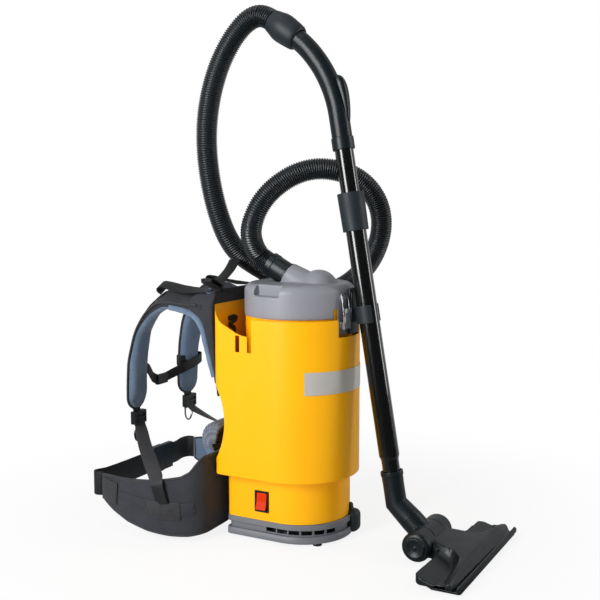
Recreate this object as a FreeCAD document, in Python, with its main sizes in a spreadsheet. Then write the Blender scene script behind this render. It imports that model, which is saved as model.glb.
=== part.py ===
import FreeCAD, Part
import math
import os
import Sketcher

# Backpack vacuum cleaner: a motor and dust tank in a plastic sleeve with a harness,
# a hose that loops round the machine, a telescopic wand parked on the front and a floor tool.
# Millimetres. The origin is on the tank's axis at the floor. +Z is up, -Y is the front,
# where the wand is parked, and +Y is the side that lies on the wearer's back.

V = FreeCAD.Vector
X_AXIS = V(1, 0, 0)
Y_AXIS = V(0, 1, 0)
Z_AXIS = V(0, 0, 1)
CENTRE = V(0, 0, 0)

SIZES = {
    # fits
    "gap": 0.3,
    "fine_gap": 0.1,
    "shell": 3,
    # foot of the machine
    "foot_height": 3,
    "foot_radius": 8,
    "foot_inset": 27.7,
    "plate_thick": 3,
    "base_narrow": 3.3,
    "base_shift": 4.6,
    "base_corner": 12,
    "base_height": 38,
    "base_flange": 9.5,
    "base_inset": 1.6,
    "ledge_low": 11,
    "ledge_thick": 3,
    "vent_drop": 1,
    "vent_tall": 9,
    "vent_first": -99,
    "vent_step": 15,
    "vent_width": 19,
    "screw_inset": 8.2,
    "screw_front": -12,
    "screw_back": 30.5,
    "screw_radius": 2,
    "screw_head": 1.2,
    "screw_grip": 6,
    "boss_radius": 5,
    "boss_height": 12,
    # motor housing
    "housing_narrow": 8,
    "housing_centre": -3.5,
    "housing_height": 80,
    "housing_back": 5.5,
    "housing_lip": 6,
    "deck_hole": 34,
    # cord inlet
    "gland_height": 26,
    "gland_radius": 8,
    "gland_proud": 3.2,
    "gland_bore": 3.6,
    "gland_angle": 17,
    # switch
    "switch_y": 28,
    "switch_z": 72,
    "switch_half_wide": 14,
    "switch_half_tall": 19,
    "switch_lip": 1.6,
    "switch_rim": 2.1,
    "rocker_half_wide": 9.7,
    "rocker_half_tall": 15,
    "rocker_side_room": 0.5,
    "rocker_end_room": 1.3,
    "switch_depth": 14,
    "rocker_pin": 2,
    "rocker_tilt": 10,
    # motor and fan
    "motor_radius": 46,
    "motor_wall": 2.5,
    "motor_length": 54,
    "mount_outer": 34,
    "mount_inner": 20,
    "seal_height": 5,
    "fan_height": 34,
    "fan_radius": 65,
    "fan_wall": 2,
    "fan_eye": 22,
    "fan_port": 6,
    "shaft_radius": 4,
    "bearing_radius": 11,
    "bearing_height": 7,
    "armature_radius": 25,
    "air_gap": 1.2,
    "stator_height": 32,
    "impeller_clear": 4,
    "impeller_height": 12,
    "impeller_skin": 1.8,
    "blade_thick": 1.6,
    "blade_start": 16,
    "blade_lean": 28,
    "blade_count": 9,
    "filter_clear": 15.3,
    "filter_thick": 10,
    "filter_drop": 8,
    # tank and filters
    "tank_radius": 95,
    "tank_wall": 2.5,
    "tank_height": 296,
    "tank_inlet": 30,
    "ring_thick": 2,
    "cup_clear": 11,
    "cup_wall": 1.2,
    "cup_depth": 238,
    "bag_clear": 14,
    "bag_depth": 205,
    "bag_mouth": 21,
    "bag_mouth_y": -25,
    # outer sleeve
    "sleeve_room": 11.3,
    "sleeve_back_room": 19,
    "sleeve_corner": 12,
    "sleeve_wall": 2.5,
    "rim_drop": 30.5,
    "panel_rise": 51.5,
    "rise_length": 56,
    "rise_run": 42,
    "rise_climb": 22,
    "scallop_radius": 146,
    "scallop_z": 208,
    "scallop_cut": 15.7,
    "slot_tall": 27.5,
    "slot_width": 8,
    "slot_front": 41,
    "slot_rear": 64.5,
    "window_in": 32,
    "window_out": 65,
    "window_drop": 25,
    "window_tall": 38,
    "anchor_lap": 4,
    "anchor_thick": 2.5,
    "label_drop": 55.5,
    "label_tall": 39,
    "label_half_angle": 58,
    "label_thick": 0.8,
    # lid
    "skirt_thick": 2,
    "skirt_tall": 22,
    "lid_rise": 35,
    "lid_shoulder": 15,
    "lid_wall": 3,
    "gasket_thick": 3,
    "gasket_inset": 3,
    "gasket_width": 7,
    "dome_radius": 34,
    "dome_y": -38,
    "dome_sink": 11.5,
    "inlet_y": 22,
    "inlet_lift": 9.5,
    "inlet_rise": 28,
    "inlet_wall": 3,
    "inlet_flare": 7,
    "inlet_length": 66,
    "trough_gap": 3.5,
    "grip_angle": 100,
    "grip_width": 54,
    "grip_tall": 19,
    "grip_depth": 18,
    # hose
    "hose_diameter": 38,
    "hose_wall": 3,
    "hose_lead": 22,
    "cuff_wall": 2,
    "cuff_length": 42,
    "cuff_lap": 1.5,
    # wand
    "wand_reach": 82.4,
    "wand_z": 133,
    "wand_tilt": 9.69,
    "tube_radius": 17.5,
    "tube_wall": 1.2,
    "tube_length": 470,
    "neck_step": 2.5,
    "neck_end": 19,
    "neck_depth": 15,
    "neck_cone": 8,
    "inner_wall": 1.2,
    "inner_foot": 120,
    "lock_overlap": 57,
    "lock_length": 65,
    "lock_wall": 4.5,
    "lock_flare": 1,
    "parked_reach": 73,
    "collar_length": 21,
    "collar_wall": 3.2,
    "grip_swell": 1.5,
    "grip_wall": 3,
    "grip_straight": 36,
    "grip_bend": 215,
    "grip_sweep": 46,
    "end_cuff_wall": 0.2,
    "end_cuff_flare": 0.8,
    "end_cuff_length": 45,
    "slider_low": 6,
    "slider_high": 17,
    "slider_gap": 0.6,
    "slider_thick": 2.4,
    "slider_half": 13,
    "air_hole": 3.5,
    # wand clip
    "clip_half": 7,
    "clip_lift": 7.5,
    "clip_tall": 71,
    "clip_proud": 8,
    "clip_thick": 4,
    "jaw_lift": 20,
    "jaw_height": 30,
    "jaw_thick": 3.2,
    # latch
    "latch_angle": -14,
    "latch_proud": 11.5,
    "latch_drop": 10,
    "lever_half": 6.2,
    "lever_length": 28,
    "lever_thick": 5,
    "bail_proud": 0.8,
    "bail_lift": 16,
    "bail_wire": 1.2,
    "bail_half": 8.2,
    "catch_lift": 43,
    "catch_proud": 6.5,
    "catch_width": 10,
    "catch_tall": 7.5,
    "pin_radius": 1.6,
    "ear_gap": 0.8,
    "ear_thick": 1.8,
    # elbow and floor tool
    "elbow_wall": 3,
    "elbow_length": 56,
    "barrel_reach": 66.6,
    "barrel_lift": 1.5,
    "barrel_radius": 25,
    "barrel_half": 59,
    "neck_wall": 2,
    "drum_side": 3.2,
    "barrel_wall": 4,
    "neck_reach": 42,
    "cap_rim": 6,
    "cap_thick": 4,
    "cap_dish": 2.2,
    "cap_sphere": 60,
    "tool_width": 305,
    "tool_depth": 85,
    "tool_gap": 26,
    "tool_chamfer": 34,
    "tool_corner": 6,
    "tool_bend": 10,
    "wing_top": 21,
    "ridge_top": 30,
    "ridge_inset": 22,
    "ridge_run": 10,
    "ridge_fall": 5,
    "duct_rise": 8,
    "duct_run": 18,
    "duct_wall": 5,
    "duct_roof": 3,
    "sole_low": 3,
    "sole_thick": 3.5,
    "sole_inset": 2,
    "slot_margin": 29,
    "slot_inset": 33,
    "suction_half": 9,
    "brush_thick": 6,
    "brush_front": 9,
    "brush_back": 26,
    # harness
    "pad_half": 80,
    "pad_tall": 180,
    "pad_lift": 17,
    "pad_thick": 20,
    "lumbar_half": 84,
    "lumbar_swell": 30,
    "lumbar_tall": 44,
    "lumbar_lap": 34,
    "belt_half": 112,
    "belt_thick": 13,
    "belt_low": 33,
    "belt_top": 147,
    "strap_inner": 55,
    "strap_width": 55,
    "lock_wide": 34,
    "lock_tall": 24,
    "lock_thick": 11,
    "web_width": 25,
    "web_thick": 2.5,
    "chest_web": 18,
    "waist_web": 44,
    "waist_z": 73,
    "buckle_x": 26,
    "buckle_margin": 5,
    "buckle_thick": 13,
    "socket_length": 34,
    "plug_length": 31,
    "tongue_length": 22,
    "chest_buckle_half": 16,
    "chest_buckle_thick": 8,
    "chest_buckle_tall": 26,
    "ring_wire": 1.7,
    "hook_wire": 3,
}

# The hose's route: from the cuff on the lid, over the top, round the far side and the back,
# up behind the machine and over to the end of the handle. Chosen by hand.
HOSE_ROUTE = [
    (-13, 86, 508), (-25, 86, 536), (-25, 76, 567), (-15, 63, 595),
    (0, 43, 619), (18, 17, 638), (38, -12, 647), (59, -43, 644), (79, -71, 632),
    (97, -92, 609), (112, -104, 577), (121, -104, 539), (127, -90, 498), (130, -65, 462),
    (132, -27, 431), (130, 21, 412), (119, 64, 417), (95, 96, 441), (65, 113, 461),
    (37, 124, 477), (11, 135, 496), (-7, 145, 523), (-20, 154, 561), (-30, 162, 609),
    (-36, 167, 662), (-37, 168, 714), (-31, 165, 765), (-22, 156, 813), (-14, 142, 851),
    (-7, 122, 884), (-2, 98, 907),
]

doc = FreeCAD.newDocument("BackpackVacuum")
sheet = doc.addObject("Spreadsheet::Sheet", "Sizes")
nodes = []


class Size:
    """A length that carries its value and the sheet formula that gives it."""

    def __init__(self, value, text):
        self.value = value
        self.text = text

    def __float__(self):
        return float(self.value)

    def __neg__(self):
        return Size(-self.value, "(-1 * %s)" % self.text)

    def __add__(self, other):
        return joined(self, "+", other)

    def __radd__(self, other):
        return joined(other, "+", self)

    def __sub__(self, other):
        return joined(self, "-", other)

    def __rsub__(self, other):
        return joined(other, "-", self)

    def __mul__(self, other):
        return joined(self, "*", other)

    def __rmul__(self, other):
        return joined(other, "*", self)

    def __truediv__(self, other):
        return joined(self, "/", other)


def joined(first, sign, second):
    """Work out a sum, difference, product or share of two lengths, with its formula."""
    first = as_size(first)
    second = as_size(second)
    results = {
        "+": first.value + second.value,
        "-": first.value - second.value,
        "*": first.value * second.value,
        "/": first.value / second.value if second.value else 0,
    }
    return Size(results[sign], "(%s %s %s)" % (first.text, sign, second.text))


def as_size(number):
    """Take a plain number as a length with no cell behind it."""
    if isinstance(number, Size):
        return number
    return Size(float(number), "(%r)" % float(number))


class Lengths:
    """The sheet's cells by name, such as D.tank_radius."""


D = Lengths()
for row, (alias, number) in enumerate(SIZES.items(), start=1):
    sheet.set("A%d" % row, alias.replace("_", " "))
    sheet.set("B%d" % row, str(number))
    sheet.setAlias("B%d" % row, alias)
    setattr(D, alias, Size(float(number), "Sizes." + alias))
doc.recompute()


def follow_on():
    """Work out the lengths that follow from the sheet's, so that what fits together stays so."""
    # heights
    D.tank_foot = D.base_height + D.housing_height
    D.tank_rim = D.tank_foot + D.tank_height
    D.flange_low = D.base_height - D.base_flange
    D.ledge_high = D.ledge_low + D.ledge_thick
    D.vent_high = D.flange_low - D.vent_drop
    D.vent_low = D.vent_high - D.vent_tall
    D.fan_top = D.tank_foot - D.shell - D.seal_height
    D.fan_floor = D.fan_top - D.fan_height
    D.motor_foot = D.fan_floor - D.motor_length
    D.lid_foot = D.tank_rim - D.skirt_tall
    D.lid_top = D.tank_rim + D.lid_rise
    D.dome_z = D.lid_top - D.dome_sink
    D.inlet_z = D.lid_top + D.inlet_lift
    D.grip_floor = D.lid_top - D.grip_tall
    D.sleeve_foot = D.tank_foot - D.shell
    D.sleeve_rim = D.lid_foot - D.rim_drop
    D.sleeve_top = D.sleeve_rim + D.panel_rise
    D.slot_low = D.sleeve_rim - D.slot_tall
    D.window_high = D.sleeve_top - D.window_drop
    D.window_low = D.window_high - D.window_tall
    D.label_high = D.sleeve_rim - D.label_drop
    D.label_low = D.label_high - D.label_tall
    D.pad_top = D.sleeve_top + D.pad_lift
    D.pad_low = D.pad_top - D.pad_tall
    # round the tank
    D.housing_half = D.tank_radius - D.housing_narrow
    D.base_half = D.housing_half - D.base_narrow
    D.base_centre = D.housing_centre - D.base_shift
    D.back_face = D.tank_radius + D.housing_back
    D.foot_spread = D.base_half - D.foot_inset
    D.screw_x = D.base_half - D.screw_inset
    D.screw_rear = D.back_face - D.screw_back
    D.filter_outer = D.base_half - D.filter_clear
    D.filter_inner = D.filter_outer - D.filter_thick
    D.impeller_radius = D.fan_radius - D.fan_wall - D.impeller_clear
    D.stator_inner = D.armature_radius + D.air_gap
    D.cup_radius = D.tank_radius - D.cup_clear
    D.bag_radius = D.cup_radius - D.bag_clear
    D.sleeve_half = D.tank_radius + D.sleeve_room
    D.sleeve_back = D.tank_radius + D.sleeve_back_room
    D.rise_start = D.sleeve_back - D.rise_length
    D.scallop_depth = D.sleeve_back + D.scallop_cut
    D.lid_radius = D.tank_radius + D.skirt_thick
    D.gasket_outer = D.tank_radius - D.gasket_inset
    D.gasket_inner = D.gasket_outer - D.gasket_width
    # hose ends
    D.spigot = D.hose_diameter / 2 - D.hose_wall
    D.cuff_radius = D.hose_diameter / 2 + D.cuff_wall
    D.end_cuff_radius = D.hose_diameter / 2 + D.end_cuff_wall
    D.inlet_seat = D.cuff_radius + D.inlet_wall
    D.inlet_root = D.inlet_seat + D.inlet_flare
    D.inlet_bore = D.spigot + D.lid_wall
    D.trough_radius = D.cuff_radius + D.trough_gap
    # wand, clip and latch
    D.wand_y = -(D.tank_radius + D.wand_reach)
    D.neck_radius = D.tube_radius - D.neck_step
    D.inner_radius = D.tube_radius - D.tube_wall - D.gap
    D.lock_radius = D.tube_radius + D.lock_wall
    D.lock_foot = D.tube_length - D.lock_overlap
    D.handle_foot = D.lock_foot + D.lock_length + D.parked_reach
    D.collar_radius = D.inner_radius + D.collar_wall
    D.grip_radius = D.inner_radius + D.grip_swell
    D.clip_foot = D.sleeve_rim + D.clip_lift
    D.clip_top = D.clip_foot + D.clip_tall
    D.clip_face = D.tank_radius + D.clip_proud
    D.jaw_foot = D.clip_foot - D.wand_z + D.jaw_lift
    D.latch_y = -(D.tank_radius + D.latch_proud)
    D.latch_z = D.lid_foot - D.latch_drop
    D.lever_top = D.latch_z + D.lever_length
    D.bail_y = D.latch_y - D.bail_proud
    D.bail_z = D.latch_z + D.bail_lift
    D.bail_top = D.lid_foot + D.catch_lift
    D.hook_reach = D.tank_radius + D.catch_proud
    # floor tool
    D.elbow_bore = D.neck_radius + D.gap
    D.elbow_radius = D.elbow_bore + D.elbow_wall
    D.neck_outer = D.elbow_radius + D.neck_wall
    D.barrel_y = D.wand_y - D.barrel_reach
    D.barrel_z = D.barrel_radius + D.barrel_lift
    D.drum_half = D.elbow_radius + D.drum_side
    D.journal_radius = D.barrel_radius - D.barrel_wall
    D.cap_radius = D.barrel_radius - D.cap_rim
    D.tool_back = D.barrel_y - D.tool_gap
    D.tool_front = D.tool_back - D.tool_depth
    D.ridge_y = D.tool_front + D.ridge_inset
    D.slot_y = D.tool_front + D.slot_inset
    D.slot_length = D.tool_width - D.slot_margin


follow_on()


# Building helpers

def bind(thing, prop, size):
    """Tie a property to the sheet, or set it where it is a plain number."""
    setattr(thing, prop, float(size))
    if isinstance(size, Size):
        thing.setExpression(prop, size.text)


def place(thing, at=(0, 0, 0), axis=Z_AXIS, turn=0):
    """Stand a thing at a place, turned about an axis, with both tied to the sheet."""
    spot = V(float(at[0]), float(at[1]), float(at[2]))
    thing.Placement = FreeCAD.Placement(spot, FreeCAD.Rotation(axis, float(turn)))
    for name, size in zip("xyz", at):
        if isinstance(size, Size):
            thing.setExpression("Placement.Base." + name, size.text)
    if isinstance(turn, Size):
        thing.setExpression("Placement.Rotation.Angle", turn.text)
    return thing


def primitive(kind, at=(0, 0, 0), axis=Z_AXIS, turn=0, **sizes):
    """Add one of Part's primitives with its sizes tied to the sheet."""
    thing = doc.addObject("Part::" + kind, kind)
    for prop, size in sizes.items():
        bind(thing, prop, size)
    return place(thing, at, axis, turn)


def box(low, high):
    """A block between two corners."""
    spans = [second - first for first, second in zip(low, high)]
    return primitive("Box", low, Length=spans[0], Width=spans[1], Height=spans[2])


def disc(radius, low, high, x=0, y=0):
    """An upright cylinder between two heights."""
    return primitive("Cylinder", (x, y, low), Radius=radius, Height=high - low)


def rod(radius, start, length, axis=X_AXIS, turn=0):
    """A cylinder from a point; its own Z axis is turned about the axis given."""
    return primitive("Cylinder", start, axis, turn, Radius=radius, Height=length)


def fuse(*things):
    """One solid from several."""
    whole = doc.addObject("Part::MultiFuse", "Fuse")
    whole.Shapes = list(things)
    whole.Refine = True
    return whole


def cut(base, *tools):
    """Take the tools away from the base."""
    for tool in tools:
        left = doc.addObject("Part::Cut", "Cut")
        left.Base = base
        left.Tool = tool
        base = left
    return base


def common(*things):
    """What the things share."""
    shared = doc.addObject("Part::MultiCommon", "Common")
    shared.Shapes = list(things)
    return shared


def ring(outer, inner, low, high, x=0, y=0):
    """An upright tube; its bore runs past both faces."""
    return cut(disc(outer, low, high, x, y), disc(inner, low - 1, high + 1, x, y))


def radial_box(turn, reach, length, wide, low, high):
    """A block that points away from the tank's axis, turned about Z from +X, centred across."""
    block = primitive("Box", Length=length, Width=wide, Height=high - low)
    rotation = FreeCAD.Rotation(Z_AXIS, float(turn))
    spot = rotation.multVec(V(float(reach), -float(wide) / 2, 0)) + V(0, 0, float(low))
    block.Placement = FreeCAD.Placement(spot, rotation)
    return block


def shape(solid):
    """A solid made with Part's own functions, as an object of the document."""
    thing = doc.addObject("Part::Feature", "Shape")
    thing.Shape = solid
    return thing


def mirrored(thing):
    """The same thing on the other side of the machine."""
    other = doc.addObject("Part::Mirroring", "Mirror")
    other.Source = thing
    other.Normal = X_AXIS
    return other


def node(name, thing):
    """Name a finished sub-part."""
    thing.Label = name
    nodes.append(thing)
    return thing


def new_sketch(body, role):
    """A sketch on one of the body's origin planes."""
    plane = [item for item in body.Origin.OriginFeatures if item.Role == role][0]
    sketch = body.newObject("Sketcher::SketchObject", "Sketch")
    sketch.AttachmentSupport = [(plane, "")]
    sketch.MapMode = "FlatFace"
    return sketch


def pin_point(sketch, geometry, point, place_xy):
    """Hold a point of the sketch at its place."""
    for kind, number, axis in (("DistanceX", place_xy[0], -2), ("DistanceY", place_xy[1], -1)):
        if not isinstance(number, Size) and float(number) == 0:
            sketch.addConstraint(Sketcher.Constraint("PointOnObject", geometry, point, axis))
            continue
        rule = Sketcher.Constraint(kind, -1, 1, geometry, point, float(number))
        index = sketch.addConstraint(rule)
        if isinstance(number, Size):
            sketch.setExpression("Constraints[%d]" % index, number.text)


def draw(sketch, corners):
    """Draw a closed outline through its corners; a third number rounds that corner."""
    count = len(corners)
    spots = [V(float(corner[0]), float(corner[1]), 0) for corner in corners]
    stops = []
    starts = []
    middles = []
    for index, corner in enumerate(corners):
        back = (spots[index - 1] - spots[index]).normalize()
        ahead = (spots[(index + 1) % count] - spots[index]).normalize()
        radius = float(corner[2]) if len(corner) == 3 else 0
        half = back.getAngle(ahead) / 2
        reach = radius / math.tan(half)
        stops.append(spots[index] + back * reach)
        starts.append(spots[index] + ahead * reach)
        inward = (back + ahead).normalize()
        middles.append(spots[index] + inward * (radius / math.sin(half)))
    sides = []
    for index in range(count):
        line = Part.LineSegment(starts[index], stops[(index + 1) % count])
        sides.append(sketch.addGeometry(line, False))
    for index, corner in enumerate(corners):
        before = sides[index - 1]
        after = sides[index]
        if len(corner) == 2:
            sketch.addConstraint(Sketcher.Constraint("Coincident", before, 2, after, 1))
            pin_point(sketch, after, 1, corner)
            continue
        middle = middles[index]
        first = stops[index] - middle
        last = starts[index] - middle
        left_turn = first.cross(last).z > 0
        ends = (first, last) if left_turn else (last, first)
        angles = [math.atan2(end.y, end.x) for end in ends]
        if angles[1] < angles[0]:
            angles[1] += 2 * math.pi
        circle = Part.Circle(middle, Z_AXIS, float(corner[2]))
        arc = sketch.addGeometry(Part.ArcOfCircle(circle, angles[0], angles[1]), False)
        arc_start, arc_end = (1, 2) if left_turn else (2, 1)
        sketch.addConstraint(Sketcher.Constraint("Tangent", before, 2, arc, arc_start))
        sketch.addConstraint(Sketcher.Constraint("Tangent", arc, arc_end, after, 1))
        rule = sketch.addConstraint(Sketcher.Constraint("Radius", arc, float(corner[2])))
        if isinstance(corner[2], Size):
            sketch.setExpression("Constraints[%d]" % rule, corner[2].text)
        spot = sketch.addGeometry(Part.Point(spots[index]), True)
        sketch.addConstraint(Sketcher.Constraint("PointOnObject", spot, 1, before))
        sketch.addConstraint(Sketcher.Constraint("PointOnObject", spot, 1, after))
        pin_point(sketch, spot, 1, corner)


def turned(corners):
    """A body turned round the Z axis from half its section, given as radius and height."""
    body = doc.addObject("PartDesign::Body", "Turned")
    sketch = new_sketch(body, "XZ_Plane")
    draw(sketch, corners)
    feature = body.newObject("PartDesign::Revolution", "Revolution")
    feature.Profile = sketch
    feature.ReferenceAxis = (sketch, ["V_Axis"])
    feature.Angle = 360
    return body


def slab(corners, role, length, at=(0, 0, 0), midplane=False):
    """A body padded from an outline on one of the origin planes."""
    body = doc.addObject("PartDesign::Body", "Slab")
    sketch = new_sketch(body, role)
    draw(sketch, corners)
    feature = body.newObject("PartDesign::Pad", "Pad")
    feature.Profile = sketch
    bind(feature, "Length", length)
    feature.SideType = "Symmetric" if midplane else "One side"
    return place(body, at)


def u_block(half, centre, back, corner, low, high):
    """A block with a round front and a flat back with rounded corners."""
    body = doc.addObject("PartDesign::Body", "RoundFront")
    sketch = new_sketch(body, "XY_Plane")
    wide, middle, rear, bend = float(half), float(centre), float(back), float(corner)
    front = Part.Circle(V(0, middle, 0), Z_AXIS, wide)
    right = Part.Circle(V(wide - bend, rear - bend, 0), Z_AXIS, bend)
    left = Part.Circle(V(bend - wide, rear - bend, 0), Z_AXIS, bend)
    sketch.addGeometry(Part.ArcOfCircle(front, math.pi, 2 * math.pi), False)
    sketch.addGeometry(Part.LineSegment(V(wide, middle, 0), V(wide, rear - bend, 0)), False)
    sketch.addGeometry(Part.ArcOfCircle(right, 0, math.pi / 2), False)
    sketch.addGeometry(Part.LineSegment(V(wide - bend, rear, 0), V(bend - wide, rear, 0)), False)
    sketch.addGeometry(Part.ArcOfCircle(left, math.pi / 2, math.pi), False)
    sketch.addGeometry(Part.LineSegment(V(-wide, rear - bend, 0), V(-wide, middle, 0)), False)
    for index in range(6):
        following = (index + 1) % 6
        sketch.addConstraint(Sketcher.Constraint("Tangent", index, 2, following, 1))
    sketch.addConstraint(Sketcher.Constraint("Vertical", 1))
    sketch.addConstraint(Sketcher.Constraint("Horizontal", 3))
    sketch.addConstraint(Sketcher.Constraint("Vertical", 5))
    sketch.addConstraint(Sketcher.Constraint("Equal", 2, 4))
    sketch.addConstraint(Sketcher.Constraint("PointOnObject", 0, 3, -2))
    rules = (
        (Sketcher.Constraint("Radius", 0, wide), half),
        (Sketcher.Constraint("Radius", 2, bend), corner),
        (Sketcher.Constraint("DistanceY", -1, 1, 0, 3, middle), centre),
        (Sketcher.Constraint("DistanceY", -1, 1, 3, 1, rear), back),
    )
    for rule, size in rules:
        index = sketch.addConstraint(rule)
        sketch.setExpression("Constraints[%d]" % index, as_size(size).text)
    feature = body.newObject("PartDesign::Pad", "Pad")
    feature.Profile = sketch
    bind(feature, "Length", high - low)
    return place(body, (0, 0, low))


def points(*spots):
    """Vectors from places given as numbers or lengths."""
    return [V(float(spot[0]), float(spot[1]), float(spot[2])) for spot in spots]


def route_edges(route, share=0.45, announce=None):
    """Straight runs joined by tangent arcs, each as large as its two runs allow."""
    edges = []
    here = route[0]
    radii = []
    for index in range(1, len(route) - 1):
        back = route[index - 1] - route[index]
        ahead = route[index + 1] - route[index]
        reach = share * min(back.Length, ahead.Length)
        turn = math.pi - back.getAngle(ahead)
        radii.append(reach / math.tan(turn / 2))
        start = route[index] + V(back).normalize() * reach
        stop = route[index] + V(ahead).normalize() * reach
        inward = (V(back).normalize() + V(ahead).normalize()).normalize()
        middle_reach = radii[-1] * (1 / math.cos(turn / 2) - 1)
        edges.append(Part.LineSegment(here, start).toShape())
        edges.append(Part.Arc(start, route[index] + inward * middle_reach, stop).toShape())
        here = stop
    edges.append(Part.LineSegment(here, route[-1]).toShape())
    if announce:
        print(announce, "radii", [round(radius) for radius in radii])
    return edges


def pipe(edges, radius):
    """A round solid along edges that join end to end."""
    path = Part.Wire(edges)
    start = edges[0].valueAt(edges[0].FirstParameter)
    along = edges[0].tangentAt(edges[0].FirstParameter)
    profile = Part.Wire(Part.Circle(start, along, float(radius)).toShape())
    return path.makePipeShell([profile], True, False)


def ribbon(stations):
    """A flat strap through stations, each a centre, an across vector and a thickness vector."""
    frames = []
    for centre, across, thick in stations:
        corners = [
            centre - across / 2 - thick / 2,
            centre + across / 2 - thick / 2,
            centre + across / 2 + thick / 2,
            centre - across / 2 + thick / 2,
        ]
        frames.append(Part.makePolygon(corners + corners[:1]))
    return Part.makeLoft(frames, True, True)


def strap_along(route, across, width, thick):
    """A flat strap along a route, with its width along one direction."""
    stations = []
    side = V(across).normalize()
    for index, spot in enumerate(route):
        ahead = route[min(index + 1, len(route) - 1)]
        back = route[max(index - 1, 0)]
        along = (ahead - back).normalize()
        normal = along.cross(side).normalize()
        stations.append((spot, side * float(width), normal * float(thick)))
    return ribbon(stations)


def side_panel(outline, low_x, high_x):
    """A solid with an outline seen from the side, as (y, z), between two x places."""
    wire = Part.makePolygon(points(*[(low_x, y, z) for y, z in outline + outline[:1]]))
    return Part.Face(wire).extrude(V(float(high_x - low_x), 0, 0))


def smooth_band(upper, lower, low_x, high_x):
    """A padded band seen from the side between two smooth lines, as (y, z)."""
    top = Part.BSplineCurve()
    top.interpolate(points(*[(low_x, y, z) for y, z in upper]))
    under = Part.BSplineCurve()
    under.interpolate(points(*[(low_x, y, z) for y, z in lower]))
    first = Part.LineSegment(top.EndPoint, under.EndPoint)
    second = Part.LineSegment(under.StartPoint, top.StartPoint)
    wire = Part.Wire([top.toShape(), first.toShape(), under.toShape(), second.toShape()])
    return Part.Face(wire).extrude(V(float(high_x - low_x), 0, 0))


# Foot of the machine

def make_feet():
    """Rubber feet under the base plate: one at each corner and one under the motor."""
    pads = [disc(D.foot_radius, 0, D.foot_height)]
    for x in (-D.foot_spread, D.foot_spread):
        for y in (-D.foot_spread + D.base_centre, D.foot_spread):
            pads.append(disc(D.foot_radius, 0, D.foot_height, x, y))
    node("rubber_feet", fuse(*pads))


def make_base():
    """The grey foot: a plate, and a ring with a flange, a groove, a ledge and vents."""
    plate_top = D.foot_height + D.plate_thick
    flange_low = D.base_height - D.base_flange
    body_half = D.base_half - D.base_inset
    body_back = D.back_face - D.base_inset
    inner_half = body_half - D.shell
    inner_back = body_back - D.shell
    inner_corner = D.base_corner - D.base_inset - D.shell
    body_corner = D.base_corner - D.base_inset
    centre = D.base_centre
    plate = u_block(body_half, centre, body_back, body_corner, D.foot_height, plate_top)
    screws = []
    holes = []
    bosses = []
    boss_holes = []
    bore = D.screw_radius + D.fine_gap
    for x in (-D.screw_x, D.screw_x):
        for y in (D.screw_front, D.screw_rear):
            head_low = D.foot_height - D.screw_head
            tip = plate_top + D.screw_grip
            screws.append(disc(D.screw_radius, head_low, tip, x, y))
            screws.append(disc(2 * D.screw_radius, head_low, D.foot_height, x, y))
            holes.append(disc(bore, D.foot_height - 1, plate_top + 1, x, y))
            bosses.append(disc(D.boss_radius, plate_top, plate_top + D.boss_height, x, y))
            boss_holes.append(disc(bore, plate_top - 1, tip + 1, x, y))
    node("base_plate", cut(plate, fuse(*holes)))
    node("base_screws", fuse(*screws))
    lower = u_block(body_half, centre, body_back, body_corner, plate_top, flange_low)
    flange = u_block(D.base_half, centre, D.back_face, D.base_corner, flange_low, D.base_height)
    ledge = u_block(D.base_half, centre, D.back_face, D.base_corner, D.ledge_low, D.ledge_high)
    hollow = u_block(inner_half, centre, inner_back, inner_corner, plate_top - 1, D.base_height + 1)
    windows = []
    for side in (-1, 1):
        for index in range(6):
            turn = side * (D.vent_first + D.vent_step * index) - 90
            windows.append(radial_box(turn, D.motor_radius, D.base_half, D.vent_width,
                                      D.vent_low, D.vent_high))
    body = cut(fuse(lower, flange, ledge), hollow, fuse(*windows))
    node("base_ring", cut(fuse(body, *bosses), fuse(*boss_holes)))


# Motor housing, switch and cord inlet

def make_housing():
    """The yellow lower housing: open below, with a deck that the tank stands on."""
    top = D.base_height + D.housing_height
    inner = D.housing_half - D.shell
    corner = D.base_corner
    outside = u_block(D.housing_half, D.housing_centre, D.back_face, corner, D.base_height, top)
    inside = u_block(
        inner, D.housing_centre, D.back_face - D.shell, corner - D.shell,
        D.base_height + D.shell, top - D.shell,
    )
    opening = u_block(
        inner - D.housing_lip, D.housing_centre, D.back_face - D.shell - D.housing_lip,
        corner - D.shell,
        D.base_height - 1, D.base_height + D.shell + 1,
    )
    deck_hole = disc(D.deck_hole, top - D.shell - 1, top + 1)
    body_half = D.switch_half_wide - D.switch_rim + D.gap
    body_tall = D.switch_half_tall - D.switch_rim + D.gap
    switch_hole = box(
        (-D.housing_half - D.shell, D.switch_y - body_half, D.switch_z - body_tall),
        (-inner + D.shell, D.switch_y + body_half, D.switch_z + body_tall),
    )
    gland_z = D.base_height + D.gap + D.gland_height / 2
    lead_hole = radial_box(D.gland_angle - 90, inner - 2 * D.shell, 5 * D.shell, 1.7 * D.gland_bore,
                           gland_z - 0.8 * D.gland_bore, gland_z + 0.8 * D.gland_bore)
    node("motor_housing", cut(outside, inside, opening, deck_hole, switch_hole, lead_hole))


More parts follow.
